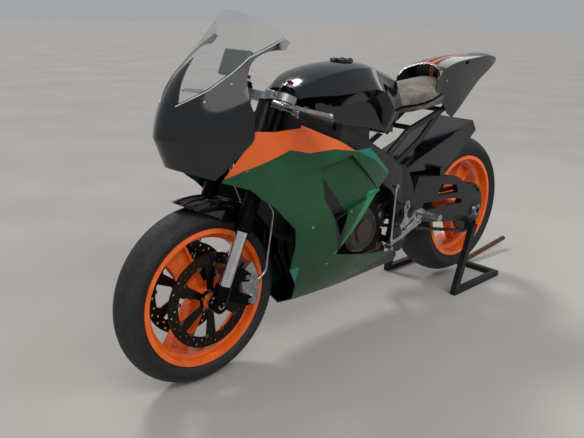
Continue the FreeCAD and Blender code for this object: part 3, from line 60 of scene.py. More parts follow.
# The drawing datum lies under the front axle; the frame's origin is this far behind it.
DATUM_X = (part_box("front_tyre")[0].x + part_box("front_tyre")[1].x) / 2
RAKE = math.radians(23.5)
# Sizes that the small parts share with the construction, in datum millimetres; pairs are x and z.
FORK_OFFSET = 30.6
LEG_SIDE = 105
FRONT_AXLE = (0, 300)
REAR_AXLE = (-1404, 355)
GEARBOX_SHAFT = (-775, 445)
DISC_THICK = 5
FRONT_DISC_SIDE = 64
REAR_DISC_SIDE = 84
CALIPER_FACE = FRONT_DISC_SIDE + 27
CHAIN_SIDE = 107
CHAIN_PITCH = 15.875
FRONT_TEETH, REAR_TEETH = 16, 43
BAR_AHEAD, BAR_HEIGHT, BAR_END = 34, 652, 350
BAR_SWEEP, BAR_DROP = math.radians(10), math.radians(6)
TANK_CAP_X = -640
ENGINE_SIDE = 150
COVER_LEFT, COVER_RIGHT = (-586, 442), (-606, 452)
PEG = (-948, 436)
SILENCER = [(-1080, -190, 268), (-1370, -226, 430)]
SILENCER_RADIUS = 52


def spot(x, y, z):
    """A point given in the datum's millimetres, in the frame's metres."""
    return Vector((x * MM + DATUM_X, y * MM, z * MM))


# Node helpers that the materials share.
def linear(code):
    """sRGB hex colour to linear light."""
    channels = [int(code[i:i + 2], 16) / 255 for i in (1, 3, 5)]
    return tuple(c / 12.92 if c <= 0.04045 else ((c + 0.055) / 1.055) ** 2.4 for c in channels) + (1.0,)


def node(tree, kind, inputs=None, **settings):
    """Adds a node; inputs takes a socket's name or number to a value, a hex colour or another output."""
    made = tree.nodes.new("ShaderNode" + kind)
    for name, value in settings.items():
        setattr(made, name, value)
    for name, value in (inputs or {}).items():
        if isinstance(value, bpy.types.NodeSocket):
            tree.links.new(value, made.inputs[name])
        else:
            made.inputs[name].default_value = linear(value) if isinstance(value, str) else value
    return made


def finish_material(name, shader):
    """An empty material whose surface is a Principled shader with these fixed sockets."""
    material = bpy.data.materials.new(name)
    material.use_nodes = True
    tree = material.node_tree
    tree.nodes.clear()
    surface = node(tree, "BsdfPrincipled", shader)
    node(tree, "OutputMaterial", {"Surface": surface.outputs[0]})
    place = node(tree, "TexCoord").outputs["Object"]
    return material, tree, surface, place


def wear(tree, place, size_mm, low, high, detail=3.0):
    """Uneven grime or gloss: cloudy noise of one size in millimetres, spread from low to high."""
    cloud = node(tree, "TexNoise", {"Vector": place, "Scale": 1000.0 / size_mm, "Detail": detail})
    spread = {"Value": cloud.outputs["Fac"], "From Min": 0.3, "From Max": 0.7, "To Min": low, "To Max": high}
    return node(tree, "MapRange", spread).outputs["Result"]


def bumped(tree, surface, place, size_mm, strength, distance_mm=0.2, detail=2.0):
    """Fine relief of one grain size in millimetres."""
    grain = node(tree, "TexNoise", {"Vector": place, "Scale": 1000.0 / size_mm, "Detail": detail})
    relieved(tree, surface, grain.outputs["Fac"], strength, distance_mm)


def relieved(tree, surface, height, strength, distance_mm):
    """Presses a pattern into the surface; distance is its depth in millimetres."""
    relief = {"Height": height, "Strength": strength, "Distance": distance_mm * MM}
    tree.links.new(node(tree, "Bump", relief).outputs["Normal"], surface.inputs["Normal"])


def laid_over(tree, under, over, *zones):
    """The colour over where every zone is 1, the colour under where one is 0."""
    share = zones[0]
    for zone in zones[1:]:
        share = node(tree, "Math", {0: share, 1: zone}, operation="MULTIPLY").outputs[0]
    return node(tree, "Mix", {0: share, 6: under, 7: over}, data_type="RGBA").outputs[2]


def drifting(tree, place, size_mm, dark, light, detail=3.0):
    """Colour that drifts between two tones over patches of one size in millimetres."""
    return laid_over(tree, dark, light, wear(tree, place, size_mm, 0.0, 1.0, detail))


def off_centre(tree, place):
    """Distance from the centre plane, in metres."""
    across = node(tree, "SeparateXYZ", {"Vector": place}).outputs["Y"]
    return node(tree, "Math", {0: across}, operation="ABSOLUTE").outputs[0]


def between(tree, value, low, high, soft=0.0005):
    """1 where a coordinate in metres lies between two limits, else 0, with a soft border."""
    above = node(tree, "MapRange", {"Value": value, "From Min": low - soft, "From Max": low + soft})
    below = node(tree, "MapRange", {"Value": value, "From Min": high - soft, "From Max": high + soft,
                                    "To Min": 1.0, "To Max": 0.0})
    return node(tree, "Math", {0: above.outputs[0], 1: below.outputs[0]}, operation="MULTIPLY").outputs[0]


def left_of_line(tree, place, start, end, soft=0.0005):
    """1 on the left of a line of the side view, as seen from start to end; points are datum millimetres."""
    (x1, z1), (x2, z2) = start, end
    length = math.hypot(x2 - x1, z2 - z1)
    across = (-(z2 - z1) / length, 0.0, (x2 - x1) / length)
    offset = (x1 * MM + DATUM_X) * across[0] + z1 * MM * across[2]
    reach = node(tree, "VectorMath", {0: place, 1: across}, operation="DOT_PRODUCT")
    side = {"Value": reach.outputs["Value"], "From Min": offset - soft, "From Max": offset + soft}
    return node(tree, "MapRange", side).outputs[0]


# The tail's stripes: distance from the centre plane, run and rise, in metres.
STRIPE_SIDE = (0.011, 0.027)
STRIPE_RUN = (DATUM_X - 1.43, DATUM_X - 1.09)
STRIPE_RISE = (0.925, 1.1)


def black_lacquer(name="black_two_pack_lacquer", stripes=False):
    """Glass fibre under glossy black two-pack lacquer: deep blue-black, sharp reflections, faint dust."""
    material, tree, surface, place = finish_material(
        name, {"Roughness": 0.1, "IOR": 1.5, "Coat Weight": 0.35, "Coat Roughness": 0.03})
    colour = drifting(tree, place, 90, "#030509", "#080B11")
    if stripes:
        spread = node(tree, "SeparateXYZ", {"Vector": place})
        colour = laid_over(tree, colour, "#D8642A", between(tree, off_centre(tree, place), *STRIPE_SIDE),
                           between(tree, spread.outputs["X"], *STRIPE_RUN),
                           between(tree, spread.outputs["Z"], *STRIPE_RISE))
    tree.links.new(colour, surface.inputs["Base Color"])
    tree.links.new(wear(tree, place, 14, 0.07, 0.17), surface.inputs["Roughness"])
    bumped(tree, surface, place, 9, 0.04)
    return material


def satin_frame_black():
    """Cast and pressed alloy under satin black powder coat: soft sheen, fine orange peel, rubbed patches."""
    material, tree, surface, place = finish_material("satin_black_powder_coat", {"IOR": 1.5})
    tree.links.new(drifting(tree, place, 40, "#08090A", "#121416"), surface.inputs["Base Color"])
    tree.links.new(wear(tree, place, 9, 0.3, 0.5), surface.inputs["Roughness"])
    bumped(tree, surface, place, 1.6, 0.12, 0.1)
    return material


def wheel_enamel():
    """Cast wheel under orange two-pack enamel: glossy, slightly wavy, with a film of road dust."""
    material, tree, surface, place = finish_material(
        "orange_cast_wheel_enamel", {"IOR": 1.5, "Coat Weight": 0.4, "Coat Roughness": 0.05})
    tree.links.new(drifting(tree, place, 60, "#E2590F", "#F26D20", 5.0), surface.inputs["Base Color"])
    tree.links.new(wear(tree, place, 20, 0.2, 0.34), surface.inputs["Roughness"])
    bumped(tree, surface, place, 12, 0.05)
    return material


def slick_rubber():
    """Moulded race slick: dull scrubbed tread with torn grain, smoother and darker side walls."""
    material, tree, surface, place = finish_material("moulded_slick_rubber", {"IOR": 1.52})
    wall = node(tree, "MapRange", {"Value": off_centre(tree, place), "From Min": 0.046, "From Max": 0.058})
    tread = drifting(tree, place, 30, "#141415", "#252423", 8.0)
    smooth = drifting(tree, place, 80, "#0C0C0D", "#161617", 4.0)
    tree.links.new(laid_over(tree, tread, smooth, wall.outputs[0]), surface.inputs["Base Color"])
    tree.links.new(wear(tree, place, 6, 0.6, 0.85), surface.inputs["Roughness"])
    bumped(tree, surface, place, 1.2, 0.35, 0.25, 5.0)
    return material


def bar_tube():
    """Clip-on bars: turned alloy tube with black end plugs outside the grips."""
    material, tree, surface, place = finish_material("turned_bar_alloy", {"Metallic": 1.0})
    plug = between(tree, off_centre(tree, place), 0.335, 0.5)
    alloy = drifting(tree, place, 25, "#8F9194", "#BFC1C3")
    tree.links.new(laid_over(tree, alloy, "#0D0E10", plug), surface.inputs["Base Color"])
    tree.links.new(wear(tree, place, 7, 0.26, 0.42), surface.inputs["Roughness"])
    bumped(tree, surface, place, 2, 0.05, 0.1)
    return material


def bare_metal(name, dark, light, rough_low, rough_high, grain_mm=2.0, strength=0.05):
    """Bare metal: tone and gloss drift with machining and handling marks."""
    material, tree, surface, place = finish_material(name, {"Metallic": 1.0})
    tree.links.new(drifting(tree, place, 25, dark, light), surface.inputs["Base Color"])
    tree.links.new(wear(tree, place, 7, rough_low, rough_high), surface.inputs["Roughness"])
    bumped(tree, surface, place, grain_mm, strength, 0.1)
    return material


def swept_steel(name, centre, dark, light):
    """Stainless brake rotor: dark heat film with fine rings where the pads sweep round the axle."""
    material, tree, surface, place = finish_material(name, {"Metallic": 1.0})
    local = node(tree, "VectorMath", {0: place, 1: tuple(centre)}, operation="SUBTRACT").outputs[0]
    rings = node(tree, "TexWave", {"Vector": local, "Scale": 260.0, "Distortion": 0.6, "Detail": 2.0},
                 wave_type="RINGS", rings_direction="Y").outputs["Fac"]
    tree.links.new(laid_over(tree, dark, light, rings), surface.inputs["Base Color"])
    tree.links.new(wear(tree, place, 12, 0.28, 0.46), surface.inputs["Roughness"])
    relieved(tree, surface, rings, 0.15, 0.05)
    return material


def plain_moulding(name, dark, light, rough_low, rough_high, grain_mm=1.5):
    """Unpainted plastic or rubber moulding with a fine spark-eroded grain."""
    material, tree, surface, place = finish_material(name, {"IOR": 1.46})
    tree.links.new(drifting(tree, place, 30, dark, light), surface.inputs["Base Color"])
    tree.links.new(wear(tree, place, 8, rough_low, rough_high), surface.inputs["Roughness"])
    bumped(tree, surface, place, grain_mm, 0.15, 0.15)
    return material


def zoned_metal(name, zone, near, far, rough_low, rough_high, metallic=1.0):
    """Steel with a second tone between two cross planes of the motorcycle, such as heat tint or rust."""
    material, tree, surface, place = finish_material(name, {"Metallic": metallic})
    along = node(tree, "SeparateXYZ", {"Vector": place}).outputs["X"]
    behind = between(tree, along, zone[0] * MM + DATUM_X, zone[1] * MM + DATUM_X, 0.012)
    first = drifting(tree, place, 25, *near, 5.0)
    second = drifting(tree, place, 12, *far, 6.0)
    tree.links.new(laid_over(tree, first, second, behind), surface.inputs["Base Color"])
    tree.links.new(wear(tree, place, 9, rough_low, rough_high), surface.inputs["Roughness"])
    bumped(tree, surface, place, 2.5, 0.15, 0.15)
    return material


def smoked_acrylic():
    """Thin vacuum-formed acrylic: clear with a faint smoke tint and polished faces."""
    material, tree, surface, place = finish_material(
        "smoked_acrylic_sheet", {"IOR": 1.49, "Roughness": 0.04, "Base Color": "#8D9696", "Alpha": 0.17})
    bumped(tree, surface, place, 30, 0.02)
    return material


def radiator_core():
    """Brazed alloy fins between flat tubes: fine upright bands, with painted shade darkening the gaps between
    them.
    """
    material, tree, surface, place = finish_material("brazed_alloy_fins", {"Metallic": 1.0})
    bands = node(tree, "TexWave", {"Vector": place, "Scale": 90.0, "Distortion": 0.4, "Detail": 1.0},
                 bands_direction="Y").outputs["Fac"]
    # Painted shade: the dark tone between the bands stands for the shaded gaps between the fins.
    tree.links.new(laid_over(tree, "#17181A", "#4B4E52", bands), surface.inputs["Base Color"])
    tree.links.new(wear(tree, place, 9, 0.35, 0.55), surface.inputs["Roughness"])
    relieved(tree, surface, bands, 0.5, 0.4)
    return material


# Side view of the border between orange and green, rear to front, and the heights that hold it.
LIVERY_LINE = [(-760, 600), (-655, 650), (-569, 712), (-480, 753), (-374, 772), (-267, 772), (-189, 790),
               (-35, 741), (20, 715), (100, 690)]
LIVERY_LOW, LIVERY_HIGH = 580, 860
# Behind this place the panel above the border is teal.
TEAL_FROM = -478
# The turned flange at the rear lower edge of the side panel, top to foot, and its heights in metres; a
# painted highlight makes it paler green.
FLANGE = [(-556, 600), (-446, 395)]
FLANGE_RISE = (0.38, 0.603)
# The vent's slot, each side top to foot: its front border, the blade's edge and the edge below; painted shade
# colours it near-black.
SLOT_FRONT = [(-314, 719), (-446, 410)]
SLOT_BLADE = [(-326, 707), (-452, 551)]
SLOT_REAR = [(-452, 551), (-462, 440)]
# The belly's teal front facet and the black strip along its foot.
BELLY_FACET = [(-330, 150), (-300, 330)]
BELLY_STRIP = [(-905, 272), (-352, 196)]
DARK_GREEN = ("#053A1E", "#094B29")


def above_livery_line(tree, along, upright):
    """1 above the border between orange and green."""
    start, end = LIVERY_LINE[0][0], LIVERY_LINE[-1][0]
    run = node(tree, "MapRange", {"Value": along, "From Min": start * MM + DATUM_X,
                                  "From Max": end * MM + DATUM_X})
    curve = node(tree, "FloatCurve", {"Value": run.outputs["Result"]})
    points = curve.mapping.curves[0].points
    for index, (x, z) in enumerate(LIVERY_LINE):
        place = ((x - start) / (end - start), (z - LIVERY_LOW) / (LIVERY_HIGH - LIVERY_LOW))
        if index in (0, len(LIVERY_LINE) - 1):
            point = points[0 if index == 0 else len(points) - 1]
            point.location = place
        else:
            point = points.new(*place)
        point.handle_type = "VECTOR"
    curve.mapping.update()
    limit = node(tree, "MapRange", {"Value": curve.outputs["Value"], "To Min": LIVERY_LOW * MM,
                                    "To Max": LIVERY_HIGH * MM})
    return node(tree, "Math", {0: upright, 1: limit.outputs["Result"]}, operation="GREATER_THAN").outputs[0]


def panel_paint():
    """Side panel livery: orange over dark green, teal at the rear end; a painted highlight makes the flange
    at the rear edge paler, and painted shade darkens the vent's slot.
    """
    material, tree, surface, place = finish_material(
        "orange_over_green_two_pack", {"IOR": 1.45, "Coat Weight": 0.12, "Coat Roughness": 0.04})
    spread = node(tree, "SeparateXYZ", {"Vector": place})
    along, upright = spread.outputs["X"], spread.outputs["Z"]
    green = drifting(tree, place, 150, *DARK_GREEN)
    # Painted highlight: the rear flange is painted a paler green, as if lit by the low light behind.
    green = laid_over(tree, green, "#1D8055", left_of_line(tree, place, FLANGE[1], FLANGE[0]),
                      between(tree, upright, *FLANGE_RISE))
    # Painted shade: the vent's slot is painted near-black on the panel surface.
    green = laid_over(tree, green, "#030A07", left_of_line(tree, place, SLOT_FRONT[1], SLOT_FRONT[0]),
                      left_of_line(tree, place, *SLOT_BLADE), left_of_line(tree, place, *SLOT_REAR))
    orange = drifting(tree, place, 150, "#CC541D", "#DB6327")
    behind = node(tree, "Math", {0: along, 1: TEAL_FROM * MM + DATUM_X}, operation="LESS_THAN").outputs[0]
    upper = laid_over(tree, orange, "#146A62", behind)
    livery = laid_over(tree, green, upper, above_livery_line(tree, along, upright))
    tree.links.new(livery, surface.inputs["Base Color"])
    tree.links.new(wear(tree, place, 20, 0.14, 0.28), surface.inputs["Roughness"])
    bumped(tree, surface, place, 12, 0.04)
    return material


def belly_paint():
    """Belly panel: dark green, a teal front facet and a black strip along its foot and rear."""
    material, tree, surface, place = finish_material(
        "green_belly_two_pack", {"IOR": 1.45, "Coat Weight": 0.12, "Coat Roughness": 0.05})
    green = drifting(tree, place, 120, *DARK_GREEN)
    green = laid_over(tree, "#17776B", green, left_of_line(tree, place, *BELLY_FACET))
    green = laid_over(tree, "#08090B", green, left_of_line(tree, place, *BELLY_STRIP))
    tree.links.new(green, surface.inputs["Base Color"])
    tree.links.new(wear(tree, place, 20, 0.18, 0.34), surface.inputs["Roughness"])
    bumped(tree, surface, place, 12, 0.05)
    return material


def seat_foam_skin():
    """Closed-cell race foam, sun-bleached to grey-brown: open pores, scuffs and dark handling marks."""
    material, tree, surface, place = finish_material(
        "bleached_closed_cell_foam", {"IOR": 1.45, "Sheen Weight": 0.2})
    bleached = drifting(tree, place, 60, "#5A5249", "#8A8073", 7.0)
    scuffed = laid_over(tree, bleached, "#37322D", wear(tree, place, 18, 0.0, 0.55, 8.0))
    tree.links.new(scuffed, surface.inputs["Base Color"])
    tree.links.new(wear(tree, place, 4, 0.75, 0.95), surface.inputs["Roughness"])
    pores = node(tree, "TexVoronoi", {"Vector": place, "Scale": 420.0})
    relieved(tree, surface, pores.outputs["Distance"], 0.55, 0.5)
    return material


FRONT_CENTRE = spot(FRONT_AXLE[0], 0, FRONT_AXLE[1])
REAR_CENTRE = spot(REAR_AXLE[0], 0, REAR_AXLE[1])
FINISHES = {
    "lacquer": black_lacquer(),
    "tail": black_lacquer("striped_black_two_pack_lacquer", True),
    "powder": satin_frame_black(),
    "panel": panel_paint(),
    "belly": belly_paint(),
    "wheel": wheel_enamel(),
    "rubber": slick_rubber(),
    "alloy": bare_metal("machined_alloy", "#8F9194", "#BFC1C3", 0.26, 0.42),
    "bars": bar_tube(),
    "chrome": bare_metal("hard_chrome_tube", "#C9CACC", "#DCDDDE", 0.06, 0.14),
    "anodised": bare_metal("black_anodised_alloy", "#0D0E10", "#191A1D", 0.28, 0.42),
    "disc_front": swept_steel("swept_front_disc_steel", FRONT_CENTRE, "#1D1A18", "#3B3632"),
    "disc_rear": swept_steel("swept_rear_disc_steel", REAR_CENTRE, "#26221F", "#4A443F"),
    "casting": bare_metal("dark_sand_cast_alloy", "#161514", "#272423", 0.45, 0.65, 3.0, 0.4),
    "cover": plain_moulding("bronze_brown_casting_paint", "#221B16", "#372B23", 0.35, 0.55, 2.5),
    "chain": bare_metal("oiled_chain_steel", "#3B3835", "#66615B", 0.3, 0.5),
    "pipes": zoned_metal("heat_tinted_steel_pipe", (-960, -820), ("#1F1C1B", "#38312C"),
                         ("#8A642A", "#C09249"), 0.28, 0.45),
    "spring": plain_moulding("coated_spring_steel", "#151518", "#242428", 0.3, 0.45),
    "moulding": plain_moulding("matt_black_nylon", "#0B0B0C", "#171719", 0.5, 0.7),
    "stand": zoned_metal("worn_black_stand_enamel", (-2100, -1604), ("#0B0C0D", "#1D1D1F"),
                         ("#3A2418", "#6B4026"), 0.35, 0.62, 0.35),
    "acrylic": smoked_acrylic(),
    "rim_edge": plain_moulding("sawn_acrylic_edge", "#A9AFAF", "#D2D6D4", 0.25, 0.4),
    "foam": seat_foam_skin(),
    "grip": plain_moulding("soft_grip_rubber", "#0B0B0C", "#161618", 0.55, 0.75),
    "core": radiator_core(),
    "zinc": bare_metal("zinc_plated_screw_steel", "#77797B", "#A9ABAD", 0.25, 0.42),
    "purple": bare_metal("red_purple_anodised_alloy", "#5E1435", "#8A2150", 0.22, 0.34),
    "bronze": bare_metal("bronze_disc_button", "#5C4A30", "#8A7148", 0.3, 0.45),
}
CAD_FINISH = {
    "lacquer": ["fairing_nose", "front_fender", "hugger", "fuel_tank"],
    "tail": ["tail_cowl"],
    "panel": ["fairing_side_left", "fairing_side_right"],
    "belly": ["belly_left", "belly_right"],
    "powder": ["frame", "subframe", "swingarm"],
    "moulding": ["airbox", "fairing_stay", "stand_spools"],
    "wheel": ["front_rim", "rear_rim"],
    "rubber": ["front_tyre", "rear_tyre"],
    "alloy": ["rear_axle", "rear_caliper", "rearset_left", "rearset_right", "front_axle", "front_calipers",
              "levers", "yokes"],
    "bars": ["handlebars"],
    "chrome": ["fork_sliders"],
    "anodised": ["fork_tubes", "fork_bottoms"],
    "core": ["radiator"],
    "disc_front": ["front_discs"],
    "disc_rear": ["rear_disc", "rear_sprocket"],
    "chain": ["chain", "front_sprocket"],
    "casting": ["engine"],
    "cover": ["engine_covers"],
    "pipes": ["exhaust"],
    "spring": ["rear_shock"],
    "stand": ["paddock_stand"],
    "acrylic": ["windscreen"],
    "foam": ["seat_pad"],
    "grip": ["grips"],
}


def dress_frame():
    """Gives every carried-over part its finish and smooth shading up to its real edges."""
    for finish, names in CAD_FINISH.items():
        for name in names:
            mesh = NODES[name].data
            mesh.materials.clear()
            mesh.materials.append(FINISHES[finish])
            mesh.shade_smooth()
            mesh.set_sharp_from_angle(angle=math.radians(32))


def brighten_screen_edge():
    """The sawn edge of the screen scatters light, so its narrow faces get their own finish."""
    sheet_edge = 3.2 * MM
    mesh = NODES["windscreen"].data
    mesh.materials.append(FINISHES["rim_edge"])
    grown = bmesh.new()
    grown.from_mesh(mesh)
    grown.faces.ensure_lookup_table()
    for face in grown.faces:
        longest = max(edge.calc_length() for edge in face.edges)
        if face.calc_area() / longest < sheet_edge and any(
                edge.calc_face_angle(0.0) > math.radians(60) for edge in face.edges):
            mesh.polygons[face.index].material_index = 1
    grown.free()


dress_frame()
brighten_screen_edge()


# Small parts that only the scene carries. Lengths here are datum millimetres unless a comment says so.
def steer(x, y, z):
    """A point of the steering frame (z up the steering axis, x ahead of it), in metres."""
    foot_x = FRONT_AXLE[0] - FORK_OFFSET * math.cos(RAKE)
    foot_z = FRONT_AXLE[1] - FORK_OFFSET * math.sin(RAKE)
    return spot(foot_x + x * math.cos(RAKE) - z * math.sin(RAKE), y,
                foot_z + x * math.sin(RAKE) + z * math.cos(RAKE))


STEER_UP = Vector((-math.sin(RAKE), 0, math.cos(RAKE)))
STEER_AHEAD = Vector((math.cos(RAKE), 0, math.sin(RAKE)))
LEFT = Vector((0, 1, 0))
UP = Vector((0, 0, 1))


def hexed(radius, angle):
    """Radius of a hexagon of that corner radius, in one direction."""
    return radius * math.cos(math.pi / 6) / math.cos(angle % (math.pi / 3) - math.pi / 6)


def turned(mesh, base, axis, profile, sides=24):
    """Adds a turned form: rows of radius and height along the axis, with True for a hexagonal row."""
    axis = Vector(axis).normalized()
    across = axis.orthogonal().normalized()
    third = axis.cross(across)
    rings = []
    for radius, height, *hexagon in profile:
        middle = base + axis * (height * MM)
        if radius == 0:
            rings.append([mesh.verts.new(middle)])
            continue
        ring = []
        for step in range(sides):
            angle = 2 * math.pi * step / sides
            reach = (hexed(radius, angle) if hexagon else radius) * MM
            ring.append(mesh.verts.new(middle + (across * math.cos(angle) + third * math.sin(angle)) * reach))
        rings.append(ring)
    for low, high in zip(rings, rings[1:]):
        for step in range(sides):
            after = (step + 1) % sides
            corners = [low[step % len(low)], low[after % len(low)], high[after % len(high)],
                       high[step % len(high)]]
            corners = list(dict.fromkeys(corners))
            if len(corners) > 2:
                mesh.faces.new(corners)


def socket_screw(mesh, base, axis, radius, height):
    """Cap head with a chamfer and a hexagonal socket."""
    turned(mesh, base, axis, [
        (radius, -1.0), (radius, height * 0.8), (radius * 0.9, height), (radius * 0.58, height, True),
        (radius * 0.58, height * 0.4, True), (0, height * 0.4)])


def hexagon_head(mesh, base, axis, radius, height, bore=0):
    """Flanged hexagon, solid or with a through hole."""
    turned(mesh, base, axis, [
        (radius * 1.25, -0.5), (radius * 1.25, height * 0.18), (radius * 1.08, height * 0.26),
        (radius, height * 0.26, True), (radius, height * 0.9, True), (radius * 0.84, height),
        (max(bore, 0), height)] + ([(bore, -0.5)] if bore else []))


def dome_screw(mesh, base, axis, radius, height):
    """Low domed panel screw with a hexagonal socket."""
    turned(mesh, base, axis, [
        (radius, -0.6), (radius, height * 0.25), (radius * 0.85, height * 0.7), (radius * 0.5, height),
        (radius * 0.42, height, True), (radius * 0.42, height * 0.3, True), (0, height * 0.3)], 18)


def tube(mesh, points, radius, sides=10):
    """A round line through metre points, in short straight runs."""
    points = [Vector(p) for p in points]
    rings = []
    side = None
    for index, point in enumerate(points):
        run = points[min(index + 1, len(points) - 1)] - points[max(index - 1, 0)]
        run.normalize()
        side = (run.orthogonal() if side is None else side - run * side.dot(run)).normalized()
        other = run.cross(side)
        rings.append([mesh.verts.new(point + (side * math.cos(a) + other * math.sin(a)) * radius * MM)
                      for a in (2 * math.pi * step / sides for step in range(sides))])
    for low, high in zip(rings, rings[1:]):
        for step in range(sides):
            after = (step + 1) % sides
            mesh.faces.new((low[step], low[after], high[after], high[step]))
    mesh.faces.new(rings[0][::-1])
    mesh.faces.new(rings[-1])


def piece(name, mesh, body, finish, replaced=(), sharp=32):
    """Turns the gathered mesh into one named object that rides on a body."""
    bmesh.ops.recalc_face_normals(mesh, faces=mesh.faces)
    data = bpy.data.meshes.new(name)
    mesh.to_mesh(data)
    mesh.free()
    data.materials.append(FINISHES[finish])
    data.shade_smooth()
    data.set_sharp_from_angle(angle=math.radians(sharp))
    made = bpy.data.objects.new(name, data)
    bpy.context.scene.collection.objects.link(made)
    if replaced:
        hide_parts(*replaced)
    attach(made, body)
    return made


def on_surface(node_name, origin, direction):
    """Where a ray meets a part, and the part's outward direction there; nothing if it misses."""
    owner = NODES[node_name]
    direction = Vector(direction).normalized()
    hit, where, normal, face = owner.ray_cast(origin, direction)
    return (where, -normal if normal.dot(direction) > 0 else normal) if hit else None


# Loose hardware: kind of head, head radius and height, and the places it sits at.
def panel_screws():
    """Quick-release and domed screws of the bodywork, dropped on its outside from each side."""
    rows = [
        ("fairing_side", 6.0, (-305, 517)), ("fairing_side", 4.5, (-470, 545)),
        ("fairing_side", 4.5, (-630, 640)), ("fairing_side", 5.5, (-44, 742)),
        ("belly", 5.5, (-420, 350)), ("belly", 5.5, (-840, 246)),
    ]
    mesh = bmesh.new()
    for part, radius, (x, z) in rows:
        for side, name in ((1, "left"), (-1, "right")):
            met = on_surface(f"{part}_{name}", spot(x, side * 400, z), (0, -side, 0))
            if met:
                dome_screw(mesh, *met, radius, 2.4)
    for x, z in ((-84, 1028), (-24, 988), (44, 938), (-146, 1068)):
        for side in (1, -1):
            met = on_surface("fairing_nose", spot(x, side * 400, z), (0, -side, 0))
            if met:
                dome_screw(mesh, *met, 4.5, 2.0)
    for x, z in ((-1180, 930), (-1420, 925)):
        for side in (1, -1):
            met = on_surface("tail_cowl", spot(x, side * 300, z), (0, -side, 0))
            if met:
                dome_screw(mesh, *met, 4.5, 2.0)
    piece("panel_screws", mesh, "chassis", "zinc")


def screen_bead():
    """Pale bead along the screen's seat on the nose, both sides, from the ridge to the screen's tail."""
    mesh = bmesh.new()
    for side in (1, -1):
        points = []
        for x, z in ((96, 921), (70, 940), (27, 968), (-4, 992), (-36, 1014), (-66, 1036), (-94, 1057),
                     (-130, 1074), (-166, 1091), (-200, 1108)):
            met = on_surface("fairing_nose", spot(x, side * 400, z), (0, -side, 0))
            if met:
                points.append(met[0] + met[1] * 0.6 * MM)
        if len(points) > 2:
            tube(mesh, points, 1.7)
    piece("screen_bead", mesh, "chassis", "rim_edge")


def fork_hardware():
    """Leg caps with anodised adjusters, steering stem nut, and the screws of yokes, clip-ons and feet."""
    caps, knobs, screws = bmesh.new(), bmesh.new(), bmesh.new()
    for side in (1, -1):
        top = steer(FORK_OFFSET, side * LEG_SIDE, 717)
        turned(caps, top, STEER_UP, [
            (20, -1), (20, 2), (17, 3), (15, 3, True), (15, 9, True), (12, 10), (0, 10)])
        turned(knobs, top + STEER_UP * 0.010, STEER_UP, [
            (9, 0), (9, 3), (10.5, 4), (10.5, 10), (9, 12), (4, 12, True), (4, 9, True), (0, 9)])
        for height in (680, 474, 490):
            socket_screw(screws, steer(FORK_OFFSET + 33, side * 92, height), STEER_AHEAD, 5, 5)
        socket_screw(screws, steer(FORK_OFFSET + BAR_AHEAD, side * 118, BAR_HEIGHT), STEER_AHEAD, 4.5, 5)
        for height in (2, 16):
            socket_screw(screws, steer(FORK_OFFSET + 26, side * LEG_SIDE, height), STEER_AHEAD, 4.5, 4)
        for x, z in ((-78, 104), (-122, 30)):
            hexagon_head(screws, steer(FORK_OFFSET + x, side * 114, z), LEFT * side, 7, 7)
    stem_top = steer(0, 0, 692)
    turned(caps, stem_top, STEER_UP, [
        (22, -1), (22, 2), (19, 3), (19, 3, True), (19, 13, True), (16, 15), (9, 15), (9, 6), (0, 6)])
    piece("fork_caps", caps, "fork", "alloy")
    piece("fork_adjusters", knobs, "fork", "purple")
    piece("fork_screws", screws, "fork", "zinc")


def caliper_detail():
    """Bridge bolts and piston bosses of the two front calipers."""
    def on_caliper(radius, angle, side):
        turn = math.radians(angle)
        return steer(FORK_OFFSET + radius * math.cos(turn), side * CALIPER_FACE, radius * math.sin(turn))

    mesh = bmesh.new()
    for side in (1, -1):
        for angle in (128, 140, 156, 168):
            socket_screw(mesh, on_caliper(170, angle, side), LEFT * side, 4.5, 3)
        for angle in (136, 160):
            turned(mesh, on_caliper(142, angle, side), LEFT * side, [
                (16, -1), (16, 2.2), (14, 3.2), (9, 3.2), (8, 2), (0, 2)])
    piece("caliper_detail", mesh, "fork", "alloy")


def ring_of(mesh, centre, axis, radius, count, start, add):
    """Repeats one small form round a circle; centre in metres, radius in millimetres."""
    across = STEER_AHEAD if abs(STEER_AHEAD.dot(axis)) < 0.9 else UP
    across = (across - axis * across.dot(axis)).normalized()
    third = axis.cross(across)
    for step in range(count):
        angle = start + 2 * math.pi * step / count
        add(mesh, centre + (across * math.cos(angle) + third * math.sin(angle)) * radius * MM, axis)


